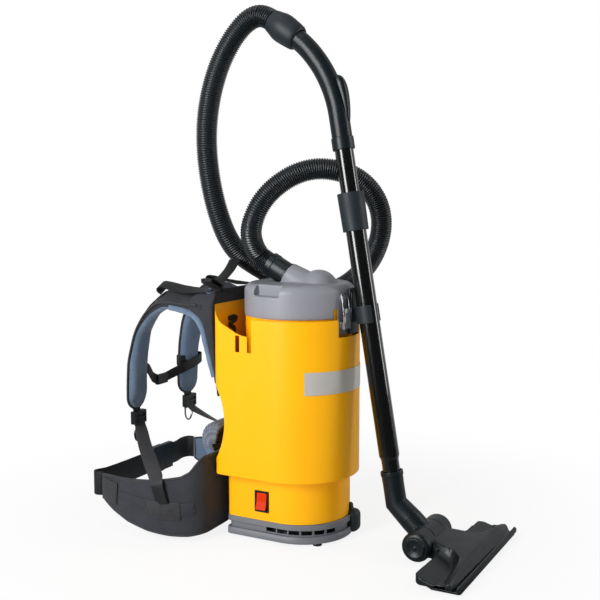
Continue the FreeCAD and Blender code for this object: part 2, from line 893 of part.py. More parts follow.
def make_switch():
    """A rocker switch: a black frame in the housing's wall and a red rocker on a pin."""
    face = -D.housing_half
    lip = D.switch_lip
    body_half = D.switch_half_wide - D.switch_rim
    body_tall = D.switch_half_tall - D.switch_rim
    well_half = D.rocker_half_wide + D.rocker_side_room
    well_tall = D.rocker_half_tall + D.rocker_end_room
    pin_x = face + 1
    flange = box(
        (face - lip, D.switch_y - D.switch_half_wide, D.switch_z - D.switch_half_tall),
        (face, D.switch_y + D.switch_half_wide, D.switch_z + D.switch_half_tall),
    )
    body = box(
        (face, D.switch_y - body_half, D.switch_z - body_tall),
        (face + D.switch_depth, D.switch_y + body_half, D.switch_z + body_tall),
    )
    well = box(
        (face - lip - 1, D.switch_y - well_half, D.switch_z - well_tall),
        (face + D.switch_depth - 2, D.switch_y + well_half, D.switch_z + well_tall),
    )
    bore = rod(
        D.rocker_pin + 0.05, (pin_x, D.switch_y + well_half + 1, D.switch_z),
        2 * well_half + 2, X_AXIS, 90,
    )
    node("switch_frame", cut(fuse(flange, body), well, bore))
    tall = D.rocker_half_tall
    pin_end = D.rocker_half_wide + 1.4
    key = slab(
        [(-5, -tall), (-3.4, -1.5), (-3.4, 1.5), (-5, tall), (3, 0.5 * tall), (5, 0),
         (3, -0.5 * tall)],
        "XZ_Plane", 2 * D.rocker_half_wide, midplane=True,
    )
    pin = rod(D.rocker_pin, (0, pin_end, 0), 2 * pin_end, X_AXIS, 90)
    rocker = fuse(key, pin)
    node("rocker_switch", place(rocker, (pin_x, D.switch_y, D.switch_z), -Y_AXIS, -D.rocker_tilt))


def make_cord_inlet():
    """The gland of the mains cord, low on the front of the housing, with nothing in it."""
    low = D.base_height + D.gap
    high = low + D.gland_height
    middle = -D.housing_half - D.gland_proud
    lump = disc(D.gland_radius, low, high, 0, middle)
    behind = disc(D.housing_half + D.fine_gap, low - 1, high + 1)
    bore = rod(D.gland_bore, (0, middle - D.gland_radius - 1, (low + high) / 2),
               2 * D.gland_radius + D.gland_proud, X_AXIS, -90)
    gland = cut(lump, behind, bore)
    node("cord_inlet", place(gland, (0, D.housing_centre, 0), Z_AXIS, D.gland_angle))


# Motor and fan

def make_motor():
    """A through-flow fan motor: frame, stator, rotor on two bearings, fan case and impeller."""
    bearing_seat = D.bearing_radius + 0.03
    boss = D.bearing_radius + 3
    low = D.motor_foot
    inner = D.motor_radius - D.motor_wall
    plate = low + 2
    seat_top = plate + D.bearing_height
    frame = turned([
        (D.shaft_radius + 2, low), (D.motor_radius, low), (D.motor_radius, D.fan_floor),
        (inner, D.fan_floor), (inner, plate + 3), (boss, plate + 3), (boss, seat_top),
        (bearing_seat, seat_top), (bearing_seat, plate), (D.shaft_radius + 2, plate),
    ])
    slots = []
    for index in range(6):
        slots.append(radial_box(60 * index, 28, D.motor_radius, 14, low + 8, low + 16))
    node("motor_frame", cut(frame, fuse(*slots)))
    stator_low = (low + D.fan_floor) / 2 - D.stator_height / 2
    stator_high = stator_low + D.stator_height
    node("motor_stator", ring(inner - D.fine_gap, D.stator_inner, stator_low, stator_high))
    upper_low = D.fan_floor + D.fan_wall - D.bearing_height
    bore = D.shaft_radius + 0.05
    lower_bearing = ring(D.bearing_radius, bore, plate, seat_top)
    upper_bearing = ring(D.bearing_radius, bore, upper_low, upper_low + D.bearing_height)
    node("motor_bearings", fuse(lower_bearing, upper_bearing))
    case_inner = D.fan_radius - D.fan_wall
    case_floor = D.fan_floor + D.fan_wall
    case = turned([
        (bearing_seat, upper_low), (boss, upper_low), (boss, D.fan_floor),
        (D.fan_radius, D.fan_floor), (D.fan_radius, D.fan_top), (D.fan_eye, D.fan_top),
        (D.fan_eye, D.fan_top - D.fan_wall), (case_inner, D.fan_top - D.fan_wall),
        (case_inner, case_floor), (bearing_seat, case_floor),
    ])
    ports = []
    for index in range(8):
        angle = math.radians(45 * index)
        reach = (D.motor_radius + case_inner) / 2
        ports.append(disc(D.fan_port, D.fan_floor - 1, case_floor + 1,
                          reach * math.cos(angle), reach * math.sin(angle)))
    node("motor_fan_case", cut(case, fuse(*ports)))
    shaft_low = low + 2.6
    wheel_low = case_floor + 5
    wheel_high = wheel_low + D.impeller_height
    node("motor_shaft", disc(D.shaft_radius, shaft_low, wheel_high + 5))
    snug = D.shaft_radius + 0.02
    winding = ring(D.armature_radius, snug, stator_low, stator_high)
    node("motor_armature", winding)
    skin = D.impeller_skin
    back_plate = disc(D.impeller_radius, wheel_low, wheel_low + skin)
    front_plate = ring(D.impeller_radius, D.fan_eye + 1, wheel_high - skin, wheel_high)
    hub = disc(D.shaft_radius + 5, wheel_low, wheel_high + 1)
    blades = []
    count = int(float(D.blade_count))
    for index in range(count):
        blade = primitive("Box", Length=D.blade_thick, Width=D.impeller_radius * 0.62,
                          Height=D.impeller_height - skin)
        turn = FreeCAD.Rotation(Z_AXIS, 360 * index / count)
        lean = FreeCAD.Rotation(Z_AXIS, float(D.blade_lean))
        spot = turn.multVec(V(0, float(D.blade_start), float(wheel_low + skin / 2)))
        blade.Placement = FreeCAD.Placement(spot, turn.multiply(lean))
        blades.append(blade)
    wheel = common(fuse(back_plate, front_plate, hub, *blades),
                   disc(D.impeller_radius, wheel_low, wheel_high + 1))
    node("impeller", cut(wheel, disc(snug, wheel_low - 1, wheel_high + 2)))
    plate_top = D.foot_height + D.plate_thick
    top_seal = ring(D.deck_hole + D.housing_lip, D.fan_eye, D.fan_top, D.tank_foot - D.shell)
    mount = ring(D.mount_outer, D.mount_inner, plate_top, D.motor_foot)
    node("motor_seals", fuse(top_seal, mount))
    filter_top = D.base_height - D.filter_drop
    node("exhaust_filter", ring(D.filter_outer, D.filter_inner, plate_top, filter_top))


# Tank, filters and bag

def make_tank():
    """The dust tank, a deep cup with the fan's inlet in its floor."""
    low = D.tank_foot
    floor = low + D.shell
    inner = D.tank_radius - D.tank_wall
    node("tank", turned([
        (D.tank_inlet, low), (D.tank_radius, low), (D.tank_radius, D.tank_rim),
        (inner, D.tank_rim), (inner, floor), (D.tank_inlet, floor),
    ]))


def make_filters():
    """The filter ring on the tank's rim, its cloth cup, and the dust bag on its collar."""
    rim = D.tank_rim
    ring_top = rim + D.ring_thick
    ledge_top = rim - 2 * D.ring_thick
    ledge_low = ledge_top - D.ring_thick
    cup = D.cup_radius
    node("filter_ring", turned([
        (cup - 6, ledge_low), (cup, ledge_low), (cup, ledge_low - 8), (cup + 2, ledge_low - 8),
        (cup + 2, rim), (D.tank_radius - 0.5, rim), (D.tank_radius - 0.5, ring_top),
        (cup, ring_top), (cup, ledge_top), (cup - 6, ledge_top),
    ]))
    outside = cup - D.fine_gap
    inside = outside - D.cup_wall
    floor = ledge_low - D.cup_depth
    node("cloth_filter", turned([
        (0, floor), (outside - 8, floor), (outside, floor + 10), (outside, ledge_low),
        (inside, ledge_low), (inside, floor + 11), (inside - 8, floor + D.cup_wall),
        (0, floor + D.cup_wall),
    ]))
    collar = disc(cup - 0.5, ledge_top, ledge_top + 2)
    mouth = disc(D.bag_mouth, ledge_low - 20, ledge_top + 3, 0, D.bag_mouth_y)
    bag_low = ledge_top - D.bag_depth
    bag = turned([
        (0, bag_low), (D.bag_radius - 6, bag_low), (D.bag_radius, bag_low + 20),
        (D.bag_radius, ledge_top - 16), (D.bag_radius - 10, ledge_top), (0, ledge_top),
    ])
    inside_bag = turned([
        (0, bag_low + 2), (D.bag_radius - 8, bag_low + 2), (D.bag_radius - 2, bag_low + 21),
        (D.bag_radius - 2, ledge_top - 17), (D.bag_radius - 11, ledge_top - 2), (0, ledge_top - 2),
    ])
    bag_hole = disc(D.bag_mouth, ledge_top - 6, ledge_top + 3, 0, D.bag_mouth_y)
    node("dust_bag", fuse(cut(bag, inside_bag, bag_hole), cut(collar, mouth)))


# Outer sleeve and what is on it

def rim_cutter():
    """What is above the sleeve's rim: level at the front, rising in a curve to the back panel."""
    front = -D.sleeve_half - 10
    above = D.sleeve_top + 40
    back = D.sleeve_back - 1.5
    knee = (D.rise_start + D.rise_run, D.sleeve_rim + D.rise_climb, 30)
    return slab(
        [(front, D.sleeve_rim), (D.rise_start, D.sleeve_rim, 60), knee,
         (back, D.sleeve_top - 8), (back, above), (front, above)],
        "YZ_Plane", 2 * D.sleeve_half + 40, midplane=True,
    )


def scallop(extra):
    """The hollow that the wearer's elbow needs, in each rear corner of the sleeve."""
    slope = math.atan2(1, 2)
    outward = V(-math.sin(slope), math.cos(slope), 0)
    along = V(math.cos(slope), math.sin(slope), 0)
    radius = float(D.scallop_radius) + float(extra)
    middle = outward * float(D.scallop_depth + D.scallop_radius) + V(0, 0, float(D.scallop_z))
    return shape(Part.makeCylinder(radius, 320, middle - along * 160, along))


def make_sleeve():
    """The yellow sleeve round the tank, with a raised back panel and scalloped corners."""
    outer = u_block(D.sleeve_half, 0, D.sleeve_back, D.sleeve_corner,
                    D.sleeve_foot, D.sleeve_top)
    inner_half = D.sleeve_half - D.sleeve_wall
    inner = u_block(inner_half, 0, D.sleeve_back - D.sleeve_wall,
                    D.sleeve_corner - D.sleeve_wall, D.sleeve_foot + D.sleeve_wall,
                    D.sleeve_top + 1)
    throat = u_block(D.housing_half + D.gap, D.housing_centre, D.back_face + D.gap,
                     D.base_corner + D.gap, D.sleeve_foot - 1, D.sleeve_foot + D.sleeve_wall + 1)
    near = scallop(0)
    near_inner = scallop(D.sleeve_wall)
    body = cut(outer, rim_cutter(), near, mirrored(near))
    hollow = cut(inner, near_inner, mirrored(near_inner))
    slots = []
    for y in (D.slot_front, D.slot_rear):
        low = (-D.sleeve_half - 10, y - D.slot_width / 2, D.slot_low)
        high = (D.sleeve_half + 10, y + D.slot_width / 2, D.sleeve_rim + 1)
        slots.append(box(low, high))
    back = D.sleeve_back
    low = D.window_low
    high = D.window_high
    inside = back - D.sleeve_wall - D.gap
    lap = D.anchor_lap
    clear = D.gap + 0.2
    plates = []
    for start, end in ((-D.window_out, -D.window_in), (D.window_in, D.window_out)):
        slots.append(box((start, back - 4 * D.sleeve_wall, low), (end, back + D.sleeve_wall, high)))
        plates.append(box((start - lap, inside - D.anchor_thick, low - lap), (end + lap, inside, high + lap)))
        plates.append(box((start + clear, inside - 1, low + clear), (end - clear, back, high - clear)))
    node("outer_sleeve", cut(body, hollow, throat, fuse(*slots)))
    node("strap_anchors", fuse(fuse(*plates[:2]), fuse(*plates[2:])))


def make_label():
    """The bare plate round the front of the sleeve."""
    sweep = 2 * D.label_half_angle
    low = D.label_low
    skin = D.sleeve_half + 0.05
    plate = primitive("Cylinder", (0, 0, low), Radius=skin + D.label_thick,
                      Height=D.label_high - low, Angle=sweep)
    core = disc(skin, low - 1, D.label_high + 1)
    piece = cut(plate, core)
    node("label_plate", place(piece, (0, 0, 0), Z_AXIS, -90 - D.label_half_angle))


# Lid

def inlet_point(along):
    """A place on the hose inlet's axis, measured outwards from its seat."""
    rise = math.radians(float(D.inlet_rise))
    return (0, D.inlet_y + along * math.cos(rise), D.inlet_z + along * math.sin(rise))


def inlet_cone(seat, root, start, length):
    """A cone along the inlet's axis, from outside inwards."""
    return primitive("Cone", inlet_point(start), X_AXIS, 90 + D.inlet_rise,
                     Radius1=seat, Radius2=root, Height=length)


def grip_box(side, grow):
    """The finger recess in the lid's shoulder on one side, larger by some wall."""
    reach = D.lid_radius - D.grip_depth - grow
    return radial_box(side * D.grip_angle - 90, reach, 50, D.grip_width + 2 * grow,
                      D.grip_floor - grow, D.lid_top + 20)


def make_lid():
    """The grey lid with its dome, hose inlet, finger recesses and latch catch."""
    seal_top = D.tank_rim + D.ring_thick + D.gap + D.gasket_thick
    cap = turned([(0, D.lid_foot), (D.lid_radius, D.lid_foot),
                  (D.lid_radius, D.lid_top, D.lid_shoulder), (0, D.lid_top)])
    dome = primitive("Sphere", (0, D.dome_y, D.dome_z), Radius=D.dome_radius)
    cone = inlet_cone(D.inlet_seat, D.inlet_root, as_size(0), D.inlet_length)
    upper_radius = D.gasket_inner - 2
    hollow_top = D.lid_top - D.lid_wall
    hollow = turned([
        (0, D.lid_foot - 1), (D.tank_radius + D.gap, D.lid_foot - 1),
        (D.tank_radius + D.gap, seal_top), (upper_radius, seal_top),
        (upper_radius, hollow_top - 10), (upper_radius - 10, hollow_top), (0, hollow_top),
    ])
    above = box((-D.lid_radius, -D.lid_radius, D.lid_foot),
                (D.lid_radius, D.lid_radius, D.lid_top + 2 * D.dome_radius))
    dome_inner = primitive("Sphere", (0, D.dome_y, D.dome_z), Radius=D.dome_radius - D.lid_wall)
    cone_inner = inlet_cone(D.inlet_seat - D.lid_wall, D.inlet_root - D.lid_wall,
                            -D.lid_wall, D.inlet_length)
    bore = inlet_cone(D.inlet_bore, D.inlet_bore, as_size(10), D.inlet_length)
    seat = inlet_point(as_size(0))
    wall_seat = inlet_point(-D.lid_wall)
    outward = D.inlet_rise - 90
    reach = D.lid_radius
    recesses = [primitive("Cylinder", seat, X_AXIS, outward, Radius=D.trough_radius, Height=reach)]
    pockets = [primitive("Cylinder", wall_seat, X_AXIS, outward,
                         Radius=D.trough_radius + D.lid_wall, Height=reach)]
    for side in (-1, 1):
        recesses.append(grip_box(side, 0))
        pockets.append(grip_box(side, D.lid_wall))
    outside = cut(fuse(cap, common(dome, above), common(cone, above)), *recesses)
    inside = cut(fuse(hollow, dome_inner, common(cone_inner, above)), *pockets)
    catch_top = D.bail_top - 2 * D.bail_wire - 0.1
    catch = radial_box(D.latch_angle - 90, D.tank_radius + 1, D.catch_proud - 1, D.catch_width,
                       catch_top - D.catch_tall, catch_top)
    notch = radial_box(D.latch_angle - 98, D.tank_radius - 5, 20, 11, D.lid_foot - 1, D.lid_foot + 17)
    shell = cut(outside, inside, bore, notch)
    keep_clear = disc(D.lid_radius - 1, D.lid_foot - 1, D.lid_top)
    node("lid", fuse(shell, cut(catch, keep_clear)))
    node("lid_gasket", ring(D.gasket_outer, D.gasket_inner, seal_top - D.gasket_thick, seal_top))
    neck = turned([
        (D.spigot - 2, -20), (D.spigot + 2, -20), (D.spigot + 2, D.gap),
        (D.cuff_radius + D.cuff_lap, D.gap), (D.cuff_radius + D.cuff_lap, 4),
        (D.cuff_radius, 4.5), (D.cuff_radius, 30),
        (D.cuff_radius + 1, 31), (D.cuff_radius + 1, D.cuff_length), (D.spigot, D.cuff_length),
        (D.spigot, 10), (D.spigot - 2, 6),
    ])
    node("hose_cuff_lid", place(neck, inlet_point(as_size(0)), X_AXIS, D.inlet_rise - 90))


# Hose

def make_hose():
    """The hose as a plain tube along its route, from the lid's cuff to the handle's cuff."""
    radius = D.hose_diameter / 2
    start = points(inlet_point(D.cuff_length), inlet_point(D.cuff_length + D.hose_lead))
    end = D.end_cuff_length
    stop = [wand_placement().multVec(handle_point(reach)) for reach in (end + D.hose_lead, end)]
    route = start + points(*HOSE_ROUTE) + stop
    edges = route_edges(route, announce="hose")
    length = sum(edge.Length for edge in edges)
    outside = pipe(edges, radius)
    inside = pipe(edges, radius - D.hose_wall)
    tube = outside.cut(inside)
    section = math.pi * (float(radius) ** 2 - float(radius - D.hose_wall) ** 2)
    print("hose length", round(length), "volume", round(tube.Volume / (section * length), 4))
    node("hose", shape(tube))


# Wand

def wand_placement():
    """The wand's own frame: its Z axis runs up the wand from the elbow's collar."""
    spot = V(0, float(D.wand_y), float(D.wand_z))
    return FreeCAD.Placement(spot, FreeCAD.Rotation(X_AXIS, -float(D.wand_tilt)))


def on_wand(thing):
    """Stand a thing in the wand's frame."""
    return place(thing, (0, D.wand_y, D.wand_z), X_AXIS, -D.wand_tilt)


def make_tubes():
    """The two tubes of the telescopic wand, and the sleeve that locks them."""
    bore = D.tube_radius - D.tube_wall
    neck_bore = D.neck_radius - D.tube_wall
    cone_top = D.neck_end + D.neck_cone
    outer = turned([
        (neck_bore, -D.neck_depth), (D.neck_radius, -D.neck_depth), (D.neck_radius, D.neck_end),
        (D.tube_radius, cone_top), (D.tube_radius, D.tube_length), (bore, D.tube_length),
        (bore, cone_top + 1), (neck_bore, D.neck_end + 1),
    ])
    node("outer_tube", on_wand(outer))
    inner_bore = D.inner_radius - D.inner_wall
    inner_top = D.handle_foot + D.collar_length - 4
    inner = ring(D.inner_radius, inner_bore, D.inner_foot, inner_top)
    node("inner_tube", on_wand(inner))
    lock_top = D.lock_foot + D.lock_length
    lock = turned([
        (D.tube_radius + D.gap, D.lock_foot), (D.lock_radius, D.lock_foot),
        (D.lock_radius + D.lock_flare, lock_top), (D.inner_radius + D.gap, lock_top),
        (D.inner_radius + D.gap, lock_top - 4), (D.tube_radius + D.gap, lock_top - 5),
    ])
    node("lock_sleeve", on_wand(lock))


def handle_path():
    """The handle's line: straight, then a bend back towards the machine, then the cuff."""
    foot = float(D.handle_foot + D.collar_length)
    bend_start = foot + float(D.grip_straight)
    radius = float(D.grip_bend)
    sweep = math.radians(float(D.grip_sweep))

    def on_arc(angle):
        return V(0, radius * (1 - math.cos(angle)), bend_start + radius * math.sin(angle))

    first = Part.LineSegment(V(0, 0, foot), on_arc(0)).toShape()
    bend = Part.Arc(on_arc(0), on_arc(sweep / 2), on_arc(sweep)).toShape()
    return [first, bend], on_arc


def handle_point(along):
    """A place past the end of the handle's bend, on its line, in the wand's frame."""
    sweep = math.radians(float(D.grip_sweep))
    end = handle_path()[1](sweep)
    return end + V(0, math.sin(sweep), math.cos(sweep)) * float(along)


def make_handle():
    """The curved handle: a collar on the inner tube, the grip, its air slider and a cuff."""
    collar_top = D.handle_foot + D.collar_length
    collar = ring(D.collar_radius, D.inner_radius + 0.05, D.handle_foot, collar_top)
    node("handle_collar", on_wand(collar))
    edges, on_arc = handle_path()
    outside = pipe(edges, D.grip_radius)
    inside = pipe(edges, D.grip_radius - D.grip_wall)
    hole_angle = math.radians(float(D.slider_low + D.slider_high) / 2)
    hole = Part.makeCylinder(float(D.air_hole), 40, on_arc(hole_angle), V(0, -1, 0.2))
    node("handle_grip", on_wand(shape(outside.cut(inside).cut(hole))))
    low = math.radians(float(D.slider_low))
    high = math.radians(float(D.slider_high))
    arc = Part.Arc(on_arc(low), on_arc((low + high) / 2), on_arc(high)).toShape()
    clear = D.grip_radius + D.slider_gap
    skin = pipe([arc], clear + D.slider_thick).cut(pipe([arc], clear))
    half = float(D.slider_half)
    reach = float(clear + D.slider_thick)
    window = Part.makeBox(2 * half, 2 * reach, 200, V(-half, -2.2 * reach, float(collar_top)))
    node("suction_slider", on_wand(shape(skin.common(window))))
    sweep = float(D.grip_sweep)
    spigot = D.grip_radius - D.grip_wall - 3 * D.gap
    cuff = turned([
        (spigot - 2.5, -14), (spigot, -14), (spigot, D.gap), (D.end_cuff_radius, D.gap),
        (D.end_cuff_radius + D.end_cuff_flare, D.end_cuff_length), (D.spigot, D.end_cuff_length),
        (D.spigot, 12), (spigot - 2.5, 4),
    ])
    end = handle_point(0)
    turn = FreeCAD.Placement(end, FreeCAD.Rotation(X_AXIS, -sweep))
    cuff.Placement = wand_placement().multiply(turn)
    node("hose_cuff_handle", cuff)


def make_wand_clip():
    """The clip on the tank that holds the wand, open towards the front."""
    half = D.clip_half
    face = -D.clip_face
    inner = face + D.clip_thick
    plate = box((-half, face, D.clip_foot), (half, inner, D.clip_top))
    block = box((-half, face, D.clip_foot), (half, -D.tank_radius + D.tank_wall, D.lid_foot - 2))
    jaw_inner = D.tube_radius + D.gap
    jaw_outer = jaw_inner + D.jaw_thick
    jaw_top = D.jaw_foot + D.jaw_height
    jaw = ring(jaw_outer, jaw_inner, D.jaw_foot, jaw_top)
    gape = jaw_inner * 0.85
    mouth = box((-gape, -jaw_outer - 5, D.jaw_foot - 1), (gape, -4, jaw_top + 1))
    tilt = math.radians(float(D.wand_tilt))
    lean = float(D.jaw_foot + D.jaw_height / 2) * math.sin(tilt)
    arm_end = (float(D.clip_thick / 2 - D.clip_face - D.wand_y) - lean) / math.cos(tilt)
    arm = box((-half + 1, jaw_inner + 1, D.jaw_foot + 4), (half - 1, as_size(arm_end), jaw_top - 4))
    jaws = on_wand(fuse(cut(jaw, mouth), cut(arm, disc(jaw_inner, D.jaw_foot, jaw_top))))
    tank = disc(D.tank_radius + 0.05, D.clip_foot - 5, D.clip_top + 5)
    node("wand_clip", cut(fuse(plate, block, jaws), tank))


# Latch

def on_latch(thing):
    """Turn a thing from the front of the tank to where the latch is."""
    return place(thing, (0, 0, 0), Z_AXIS, D.latch_angle)


def make_latch():
    """A draw latch: bracket and pin on the tank, a lever, and a wire bail over the lid's catch."""
    ear_in = D.lever_half + D.ear_gap
    ear_out = ear_in + D.ear_thick
    ear_front = D.latch_y - 3
    plate_back = -D.tank_radius - D.gap
    plate_front = plate_back - 2.8
    plate_low = D.sleeve_rim + 2.5
    plate_high = D.lid_foot - 4
    plate = box((-ear_out, plate_front, plate_low), (ear_out, plate_back, plate_high))
    ears = []
    for low, high in ((-ear_out, -ear_in), (ear_in, ear_out)):
        ears.append(box((low, ear_front, D.latch_z - 7), (high, plate_back, D.latch_z + 5)))
    pin = rod(D.pin_radius, (-ear_out - 0.6, D.latch_y, D.latch_z), 2 * ear_out + 1.2, Y_AXIS, 90)
    node("latch_bracket", on_latch(fuse(plate, *ears, pin)))
    half = D.lever_half
    front = D.latch_y - D.lever_thick / 2 - 1
    back = D.latch_y + D.lever_thick / 2
    body = box((-half, front, D.latch_z - 5), (half, back, D.lever_top))
    lip = box((-half, front - 2.5, D.lever_top - 7), (half, front, D.lever_top))
    pin_bore = rod(D.pin_radius + 0.08, (-half - 1, D.latch_y, D.latch_z), 2 * half + 2, Y_AXIS, 90)
    wire_bore = rod(D.bail_wire + 0.3, (-half - 1, D.bail_y, D.bail_z), 2 * half + 2, Y_AXIS, 90)
    node("latch_lever", on_latch(cut(fuse(body, lip), pin_bore, wire_bore)))
    wide = D.bail_half
    catch_y = -(D.hook_reach + D.lid_radius) / 2 - 0.6
    route = points(
        (-2, D.bail_y, D.bail_z), (-wide, D.bail_y, D.bail_z),
        (-wide, D.bail_y + 3, D.bail_top - 12), (-wide + 2, catch_y, D.bail_top),
        (wide - 2, catch_y, D.bail_top), (wide, D.bail_y + 3, D.bail_top - 12),
        (wide, D.bail_y, D.bail_z), (2, D.bail_y, D.bail_z),
    )
    wire = pipe(route_edges(route, 0.3), D.bail_wire)
    node("latch_bail", on_latch(shape(wire)))


# Elbow and floor tool

def elbow_frame():
    """The elbow's bend, the knuckle's middle, and the way from the knuckle to the bend."""
    bend = wand_placement().multVec(V(0, 0, -float(D.elbow_length)))
    knuckle = V(0, float(D.barrel_y), float(D.barrel_z))
    return bend, knuckle, (bend - knuckle).normalize()


def make_elbow():
    """The elbow that takes the wand's lower end and leads to the knuckle."""
    bend, knuckle, lean = elbow_frame()
    top = wand_placement().multVec(CENTRE)
    end = knuckle + lean * float(D.neck_reach + D.gap)
    edges = route_edges([top, bend, end], 0.55)
    outside = pipe(edges, D.elbow_radius)
    inside = pipe(edges, D.elbow_bore)
    node("elbow", shape(outside.cut(inside)))


def make_knuckle():
    """The swivelling knuckle: a neck on the elbow and a drum with journals for the head."""
    bend, knuckle, lean = elbow_frame()
    reach = float(D.neck_reach)
    spigot = float(D.elbow_bore - D.gap)
    neck = Part.makeCylinder(float(D.neck_outer), reach, knuckle, lean)
    plug = Part.makeCylinder(spigot, reach + 14, knuckle, lean)
    bore = Part.makeCylinder(spigot - 2.5, reach + 20, knuckle, lean)
    half = float(D.drum_half)
    drum = Part.makeCylinder(float(D.barrel_radius), 2 * half, knuckle - X_AXIS * half, X_AXIS)
    reach_x = float(D.barrel_half) - 8
    journal = Part.makeCylinder(float(D.journal_radius), 2 * reach_x, knuckle - X_AXIS * reach_x, X_AXIS)
    core = Part.makeCylinder(float(D.journal_radius) - 3, 2 * reach_x + 4,
                             knuckle - X_AXIS * (reach_x + 2), X_AXIS)
    whole = neck.fuse([plug, drum, journal]).cut([core, bore])
    node("knuckle", shape(whole.removeSplitter()))


def make_head():
    """The floor tool's head: two barrels that hold the knuckle, a duct and two wings."""
    half = D.tool_width / 2
    roof = D.sole_low + D.sole_thick
    front = D.tool_front
    back = D.tool_back
    cut_back = back - D.tool_chamfer
    cut_half = half - D.tool_chamfer
    bend = D.tool_bend
    wing = slab(
        [(-half, front, D.tool_corner), (half, front, D.tool_corner), (half, cut_back, bend),
         (cut_half, back, bend), (-cut_half, back, bend), (-half, cut_back, bend)],
        "XY_Plane", D.wing_top - roof, (0, 0, roof),
    )
    doc.recompute()
    barrel = float(D.barrel_radius)
    barrel_y = float(D.barrel_y)
    barrel_z = float(D.barrel_z)
    roof_z = float(roof)
    rear_half = float(D.barrel_half) * 0.55
    ridge_half = float(half - D.ridge_fall)
    sections = (
        (barrel_y - barrel * 0.7, rear_half, barrel_z + barrel * 0.64),
        (float(back - D.duct_run), rear_half * 1.7, float(D.ridge_top + D.duct_rise)),
        (float(D.ridge_y), ridge_half, float(D.ridge_top)),
        (float(D.ridge_y - D.ridge_run), ridge_half + 1, float(D.ridge_top - D.ridge_fall)),
    )
    outer_frames = []
    inner_frames = []
    side = float(D.duct_wall)
    for y, wide, high in sections:
        top = wide * 0.93
        outer_frames.append(Part.makePolygon(points(
            (-wide, y, roof_z), (wide, y, roof_z), (top, y, high), (-top, y, high),
            (-wide, y, roof_z))))
        low_half = wide - side
        top_half = wide * 0.9 - side
        ceiling = high - float(D.duct_roof)
        inner_frames.append(Part.makePolygon(points(
            (-low_half, y, roof_z - 1), (low_half, y, roof_z - 1),
            (top_half, y, ceiling), (-top_half, y, ceiling),
            (-low_half, y, roof_z - 1))))
    duct = Part.makeLoft(outer_frames, True, True)
    passage = Part.makeLoft(inner_frames[:-1], True, True)
    middle = V(0, barrel_y, barrel_z)
    inner_x = float(D.drum_half + D.gap)
    length = float(D.barrel_half) - inner_x
    web_low = roof_z + 1.5
    web_high = barrel_z - 0.18 * barrel
    barrels = []
    for side in (-1, 1):
        sleeve = Part.makeCylinder(barrel, length, middle + X_AXIS * (side * inner_x), X_AXIS * side)
        web_x = min(side * inner_x, side * (inner_x + length / 2))
        web = Part.makeBox(length / 2, 1.2 * barrel, web_high - web_low,
                           V(web_x, barrel_y - 1.6 * barrel, web_low))
        barrels.append(sleeve.fuse(web))
    bore_half = float(D.barrel_half) - 6
    bore = Part.makeCylinder(float(D.journal_radius + D.gap), 2 * bore_half,
                             middle - X_AXIS * bore_half, X_AXIS)
    clear = Part.makeCylinder(barrel + 2 * float(D.gap), 2 * inner_x, middle - X_AXIS * inner_x, X_AXIS)
    neck_room = Part.makeCylinder(float(D.neck_outer) + 1, 60, middle, elbow_frame()[2])
    head = wing.Shape.fuse([duct] + barrels)
    head = head.cut([passage, bore, clear])
    for tilt in range(-25, 61, 17):
        room = neck_room.copy()
        room.rotate(middle, X_AXIS, -tilt)
        head = head.cut(room)
    solids = sorted(head.removeSplitter().Solids, key=lambda solid: -solid.Volume)
    print("head solids", [round(solid.Volume) for solid in solids])
    node("tool_head", shape(solids[0]))
    caps = []
    for side in (-1, 1):
        start = middle + X_AXIS * (side * float(D.barrel_half))
        plate = Part.makeCylinder(float(D.cap_radius), float(D.cap_thick), start, X_AXIS * side)
        away = float(D.cap_sphere + D.cap_thick - D.cap_dish)
        dish = Part.makeSphere(float(D.cap_sphere), start + X_AXIS * (side * away))
        caps.append(plate.cut(dish))
    node("knuckle_caps", shape(Part.makeCompound(caps)))


def make_sole():
    """The sole plate with its suction slot, and the two brush strips in it."""
    half = D.tool_width / 2 - D.sole_inset
    front = D.tool_front + D.sole_inset
    back = D.tool_back - D.sole_inset
    cut_back = back - D.tool_chamfer
    cut_half = half - D.tool_chamfer
    low = D.sole_low
    high = low + D.sole_thick
    corner = D.tool_corner - 1
    bend = D.tool_bend - 1
    plate = slab(
        [(-half, front, corner), (half, front, corner), (half, cut_back, bend),
         (cut_half, back, bend), (-cut_half, back, bend), (-half, cut_back, bend)],
        "XY_Plane", D.sole_thick, (0, 0, low),
    )
    reach = D.slot_length / 2
    slot = box((-reach, D.slot_y - D.suction_half, low - 1),
               (reach, D.slot_y + D.suction_half, high + 1))
    grooves = []
    strips = []
    for y in (front + D.brush_front, back - D.brush_back):
        near = y - D.brush_thick / 2
        far = y + D.brush_thick / 2
        grooves.append(box((-reach, near, low - 1), (reach, far, high - 1)))
        strips.append(box((-reach + D.gap, near + D.gap, 0), (reach - D.gap, far - D.gap, high - 1)))
    node("sole_plate", cut(plate, slot, fuse(*grooves)))
    node("brush_strips", fuse(*strips))


# Harness

def worn(x, y, z):
    """A place on the harness: y from the sleeve's back panel, z from the top of the back pad."""
    return V(float(x), float(D.sleeve_back) + y, float(D.pad_top) + z)


def belted(x, y, z):
    """A place at the belt: y from the sleeve's back panel, z from the floor."""
    return V(float(x), float(D.sleeve_back) + y, float(z))


